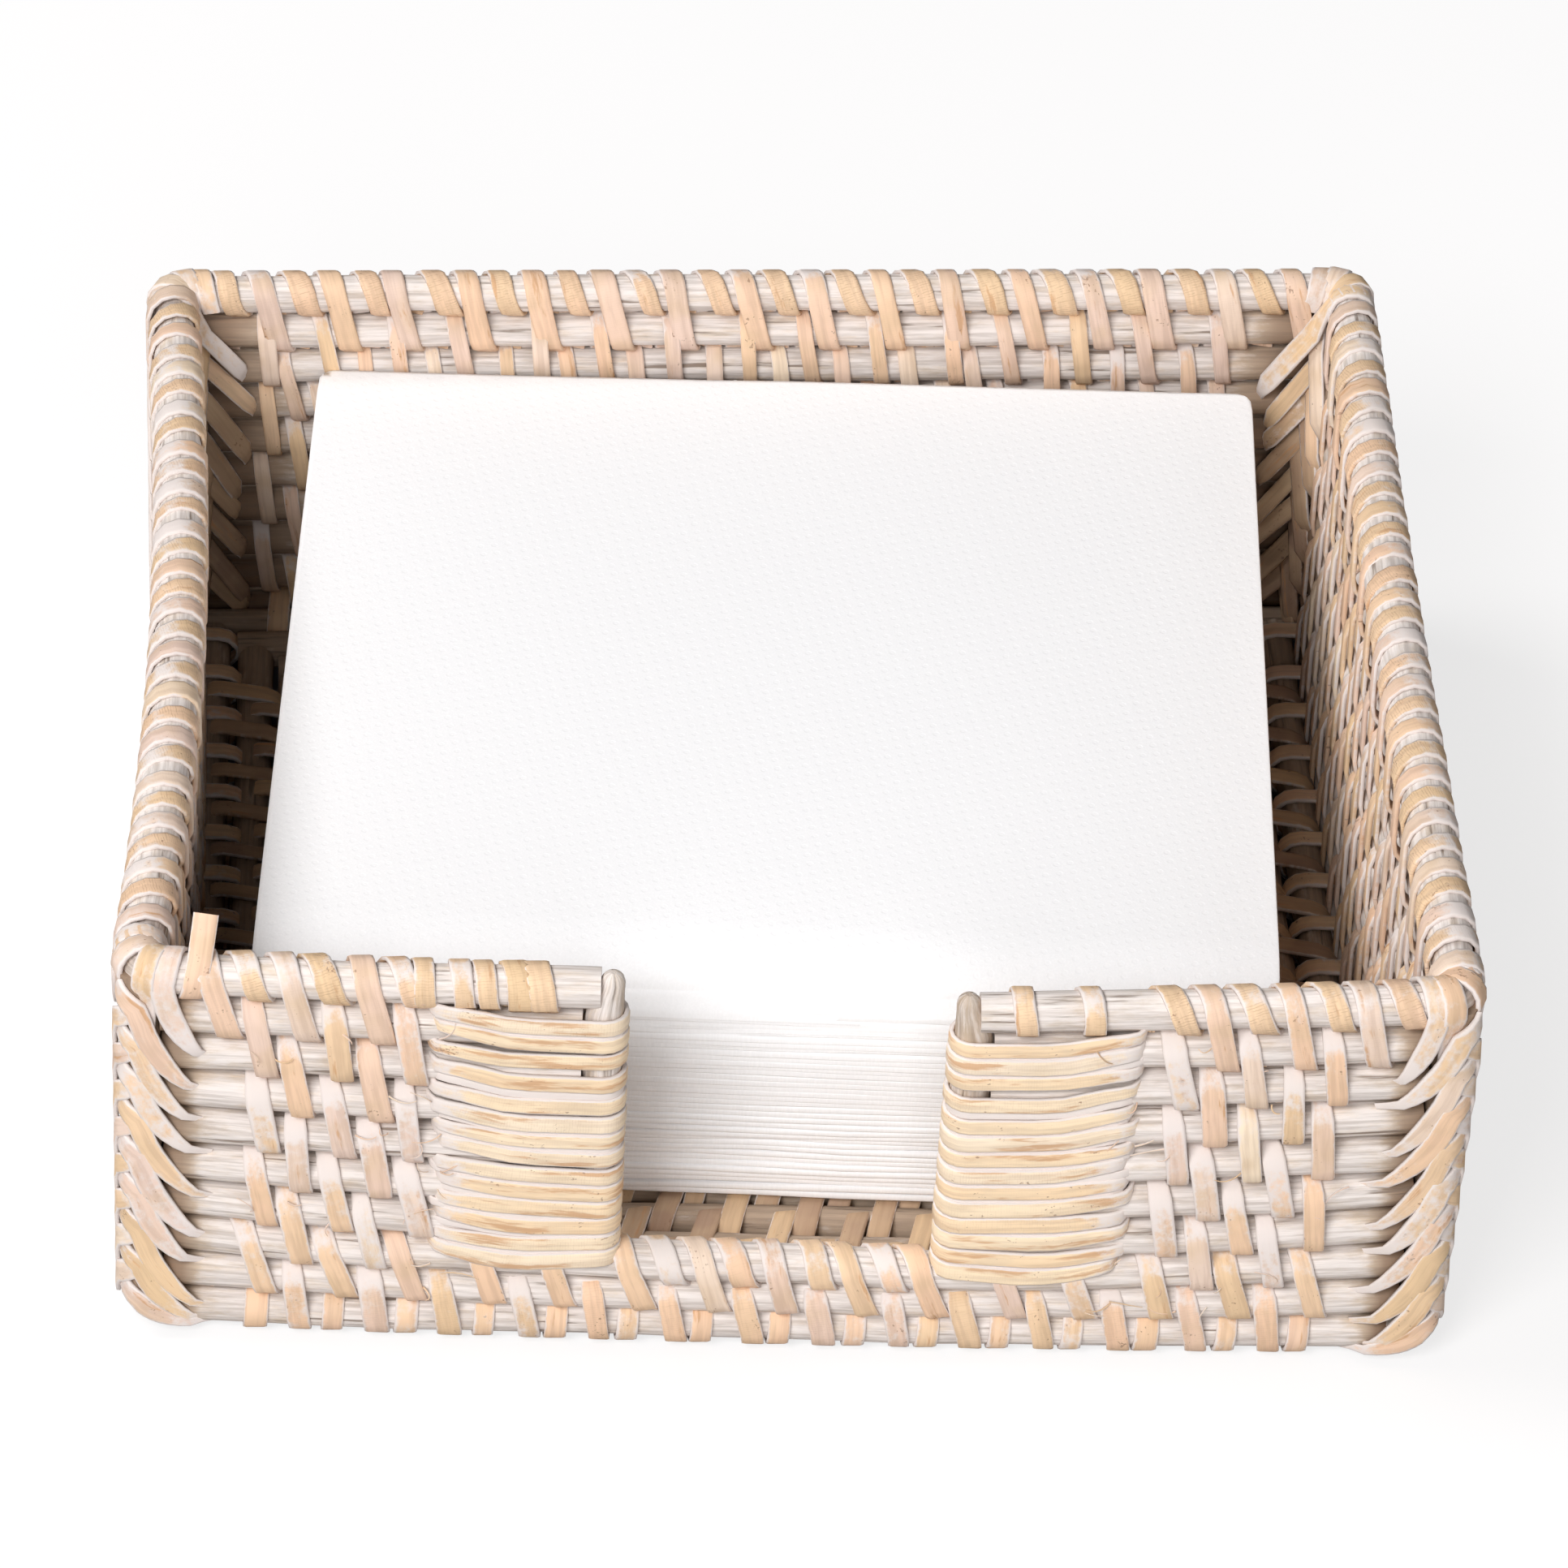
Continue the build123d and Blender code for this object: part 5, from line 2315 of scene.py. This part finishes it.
@dataclass(frozen=True)
class Studio:
    """Pale floor, soft light and the camera of the photograph."""

    focal_px: float = 10246.4
    azimuth: float = 0.05867
    elevation: float = 0.63589
    roll: float = 0.04453
    eye: Triple = (-61.80 * MM, -1098.75 * MM, 848.22 * MM)
    sensor: float = 36.0
    clip_end: float = 50.0
    floor_side: float = 12.0
    floor_drop: float = 0.2 * MM
    floor_pale: Colour = (0.5, 0.5, 0.5)
    floor_seen: Colour = (0.3, 0.29, 0.29)
    floor_glow: float = 0.74
    shade_inset: float = 6.0 * MM
    # painted shade: plain dark grey for the patch under the tray, with no glow
    under: Colour = (0.3, 0.3, 0.3)
    under_shade_roughness: float = 0.9
    ambient: float = 0.05
    lamps: tuple[Lamp, ...] = (
        Lamp("key", (-0.7, -1.3, 1.3), 26.2),
        Lamp("front", (-0.1, -1.8, 0.75), 9.2),
        Lamp("top", (-1.0, 0.3, 1.5), 15.0),
        Lamp("fill", (1.5, -1.3, 0.8), 6.0),
    )

    def camera(self) -> None:
        """Sets the camera at the photograph's viewing angle."""
        data = bpy.data.cameras.new("camera")
        data.sensor_width = self.sensor
        data.lens = self.focal_px / IMAGE_SIDE * self.sensor
        data.clip_end = self.clip_end
        camera = bpy.data.objects.new("camera", data)
        bpy.context.scene.collection.objects.link(camera)
        ahead, aside = math.cos(self.azimuth), math.sin(self.azimuth)
        level = math.cos(self.elevation)
        look = Vector((aside * level, ahead * level, -math.sin(self.elevation)))
        right = Vector((ahead, -aside, 0.0))
        up = right.cross(look)
        turned_right = math.cos(self.roll) * right + math.sin(self.roll) * up
        turned_up = -math.sin(self.roll) * right + math.cos(self.roll) * up
        axes = Matrix((turned_right, turned_up, -look)).transposed()
        camera.matrix_world = Matrix.Translation(Vector(self.eye)) @ axes.to_4x4()
        bpy.context.scene.camera = camera

    def floor_material(self) -> Material:
        """A pale floor that looks white to the camera and keeps the tray's shadow.

        Returns:
            The material.
        """
        material = bpy.data.materials.new("studio_floor")
        material.use_nodes = True
        bench = NodeBench(material.node_tree)
        bench.tree.nodes.clear()
        pale = bench.add("ShaderNodeBsdfDiffuse", {"Color": (*self.floor_pale, 1.0)}).outputs[0]
        shade = bench.add("ShaderNodeBsdfDiffuse", {"Color": (*self.floor_seen, 1.0)}).outputs[0]
        wires = {"Color": (1.0, 1.0, 1.0, 1.0), "Strength": self.floor_glow}
        glow = bench.add("ShaderNodeEmission", wires).outputs[0]
        seen = bench.add("ShaderNodeAddShader", {0: shade, 1: glow}).outputs[0]
        ray = bench.add("ShaderNodeLightPath").outputs["Is Camera Ray"]
        mixed = bench.add("ShaderNodeMixShader", {0: ray, 1: pale, 2: seen}).outputs[0]
        bench.add("ShaderNodeOutputMaterial", {"Surface": mixed})
        return material

    def floor(self) -> None:
        """A wide floor, with a darker patch under the tray that doesn't light it from below: painted shade
        where the tray's shadow falls.
        """
        low, high = CAD_BOX
        signs = np.array(((-1.0, -1.0, 0.0), (1.0, -1.0, 0.0), (1.0, 1.0, 0.0), (-1.0, 1.0, 0.0)))
        under = SKEW.moved(signs * (np.array(high - low) / 2 - self.shade_inset))
        corners = chain(under, signs * self.floor_side / 2)
        corners[:, 2] = -self.floor_drop
        mesh = bpy.data.meshes.new("studio_floor")
        quads = [(0, 1, 2, 3)] + [(i + 4, (i + 1) % 4 + 4, (i + 1) % 4, i) for i in range(4)]
        mesh.from_pydata(corners.tolist(), [], quads)
        piece = add_piece("studio_floor", mesh)
        shaded, bench, shader = new_material("studio_floor_under_shade")
        bench.wire(shader, {"Base Color": (*self.under, 1.0), "Roughness": self.under_shade_roughness})
        mesh.materials.append(self.floor_material())
        mesh.materials.append(shaded)
        mesh.polygons[0].material_index = 1

    def world(self) -> None:
        """An even pale surround, white to the camera."""
        world = bpy.data.worlds.new("studio")
        world.use_nodes = True
        bench = NodeBench(world.node_tree)
        bench.tree.nodes.clear()
        ray = bench.add("ShaderNodeLightPath")
        seen = bench.sum("MAXIMUM", ray.outputs["Is Camera Ray"], ray.outputs["Is Transmission Ray"])
        strength = bench.sum("ADD", bench.times(seen, 1.0 - self.ambient), self.ambient)
        back = bench.add("ShaderNodeBackground", {"Color": (1.0, 1.0, 1.0, 1.0), "Strength": strength})
        bench.add("ShaderNodeOutputWorld", {"Surface": back.outputs[0]})
        bpy.context.scene.world = world

    def build(self) -> None:
        """Makes the whole studio."""
        self.camera()
        self.floor()
        self.world()
        for lamp in self.lamps:
            lamp.build()
        bpy.context.scene.view_settings.view_transform = "Standard"


def main() -> None:
    """Builds every piece in order."""
    logging.basicConfig(level=logging.INFO, format="%(name)s %(message)s")
    sizes = TraySizes.from_frame()
    finishes = Finishes.build()
    strips = strip_tree()
    lashing = Stock(strips, finishes.lashing, "lashing_cane")
    binding = Stock(strips, finishes.binding, "binding_cane")
    Rods(sizes, Stock(rod_tree(), finishes.rod, "whitewashed_cane")).dress()
    WallLashing(sizes, lashing).dress()
    CornerLacing(sizes, lashing).dress()
    NotchBand(sizes, binding, -1, "notch_binding_left", 1101).dress()
    NotchBand(sizes, binding, 1, "notch_binding_right", 1102).dress()
    StrayFibres(sizes, lashing).dress()
    NapkinPile().dress(finishes.paper)
    Studio().build()


if __name__ == "__main__":
    main()
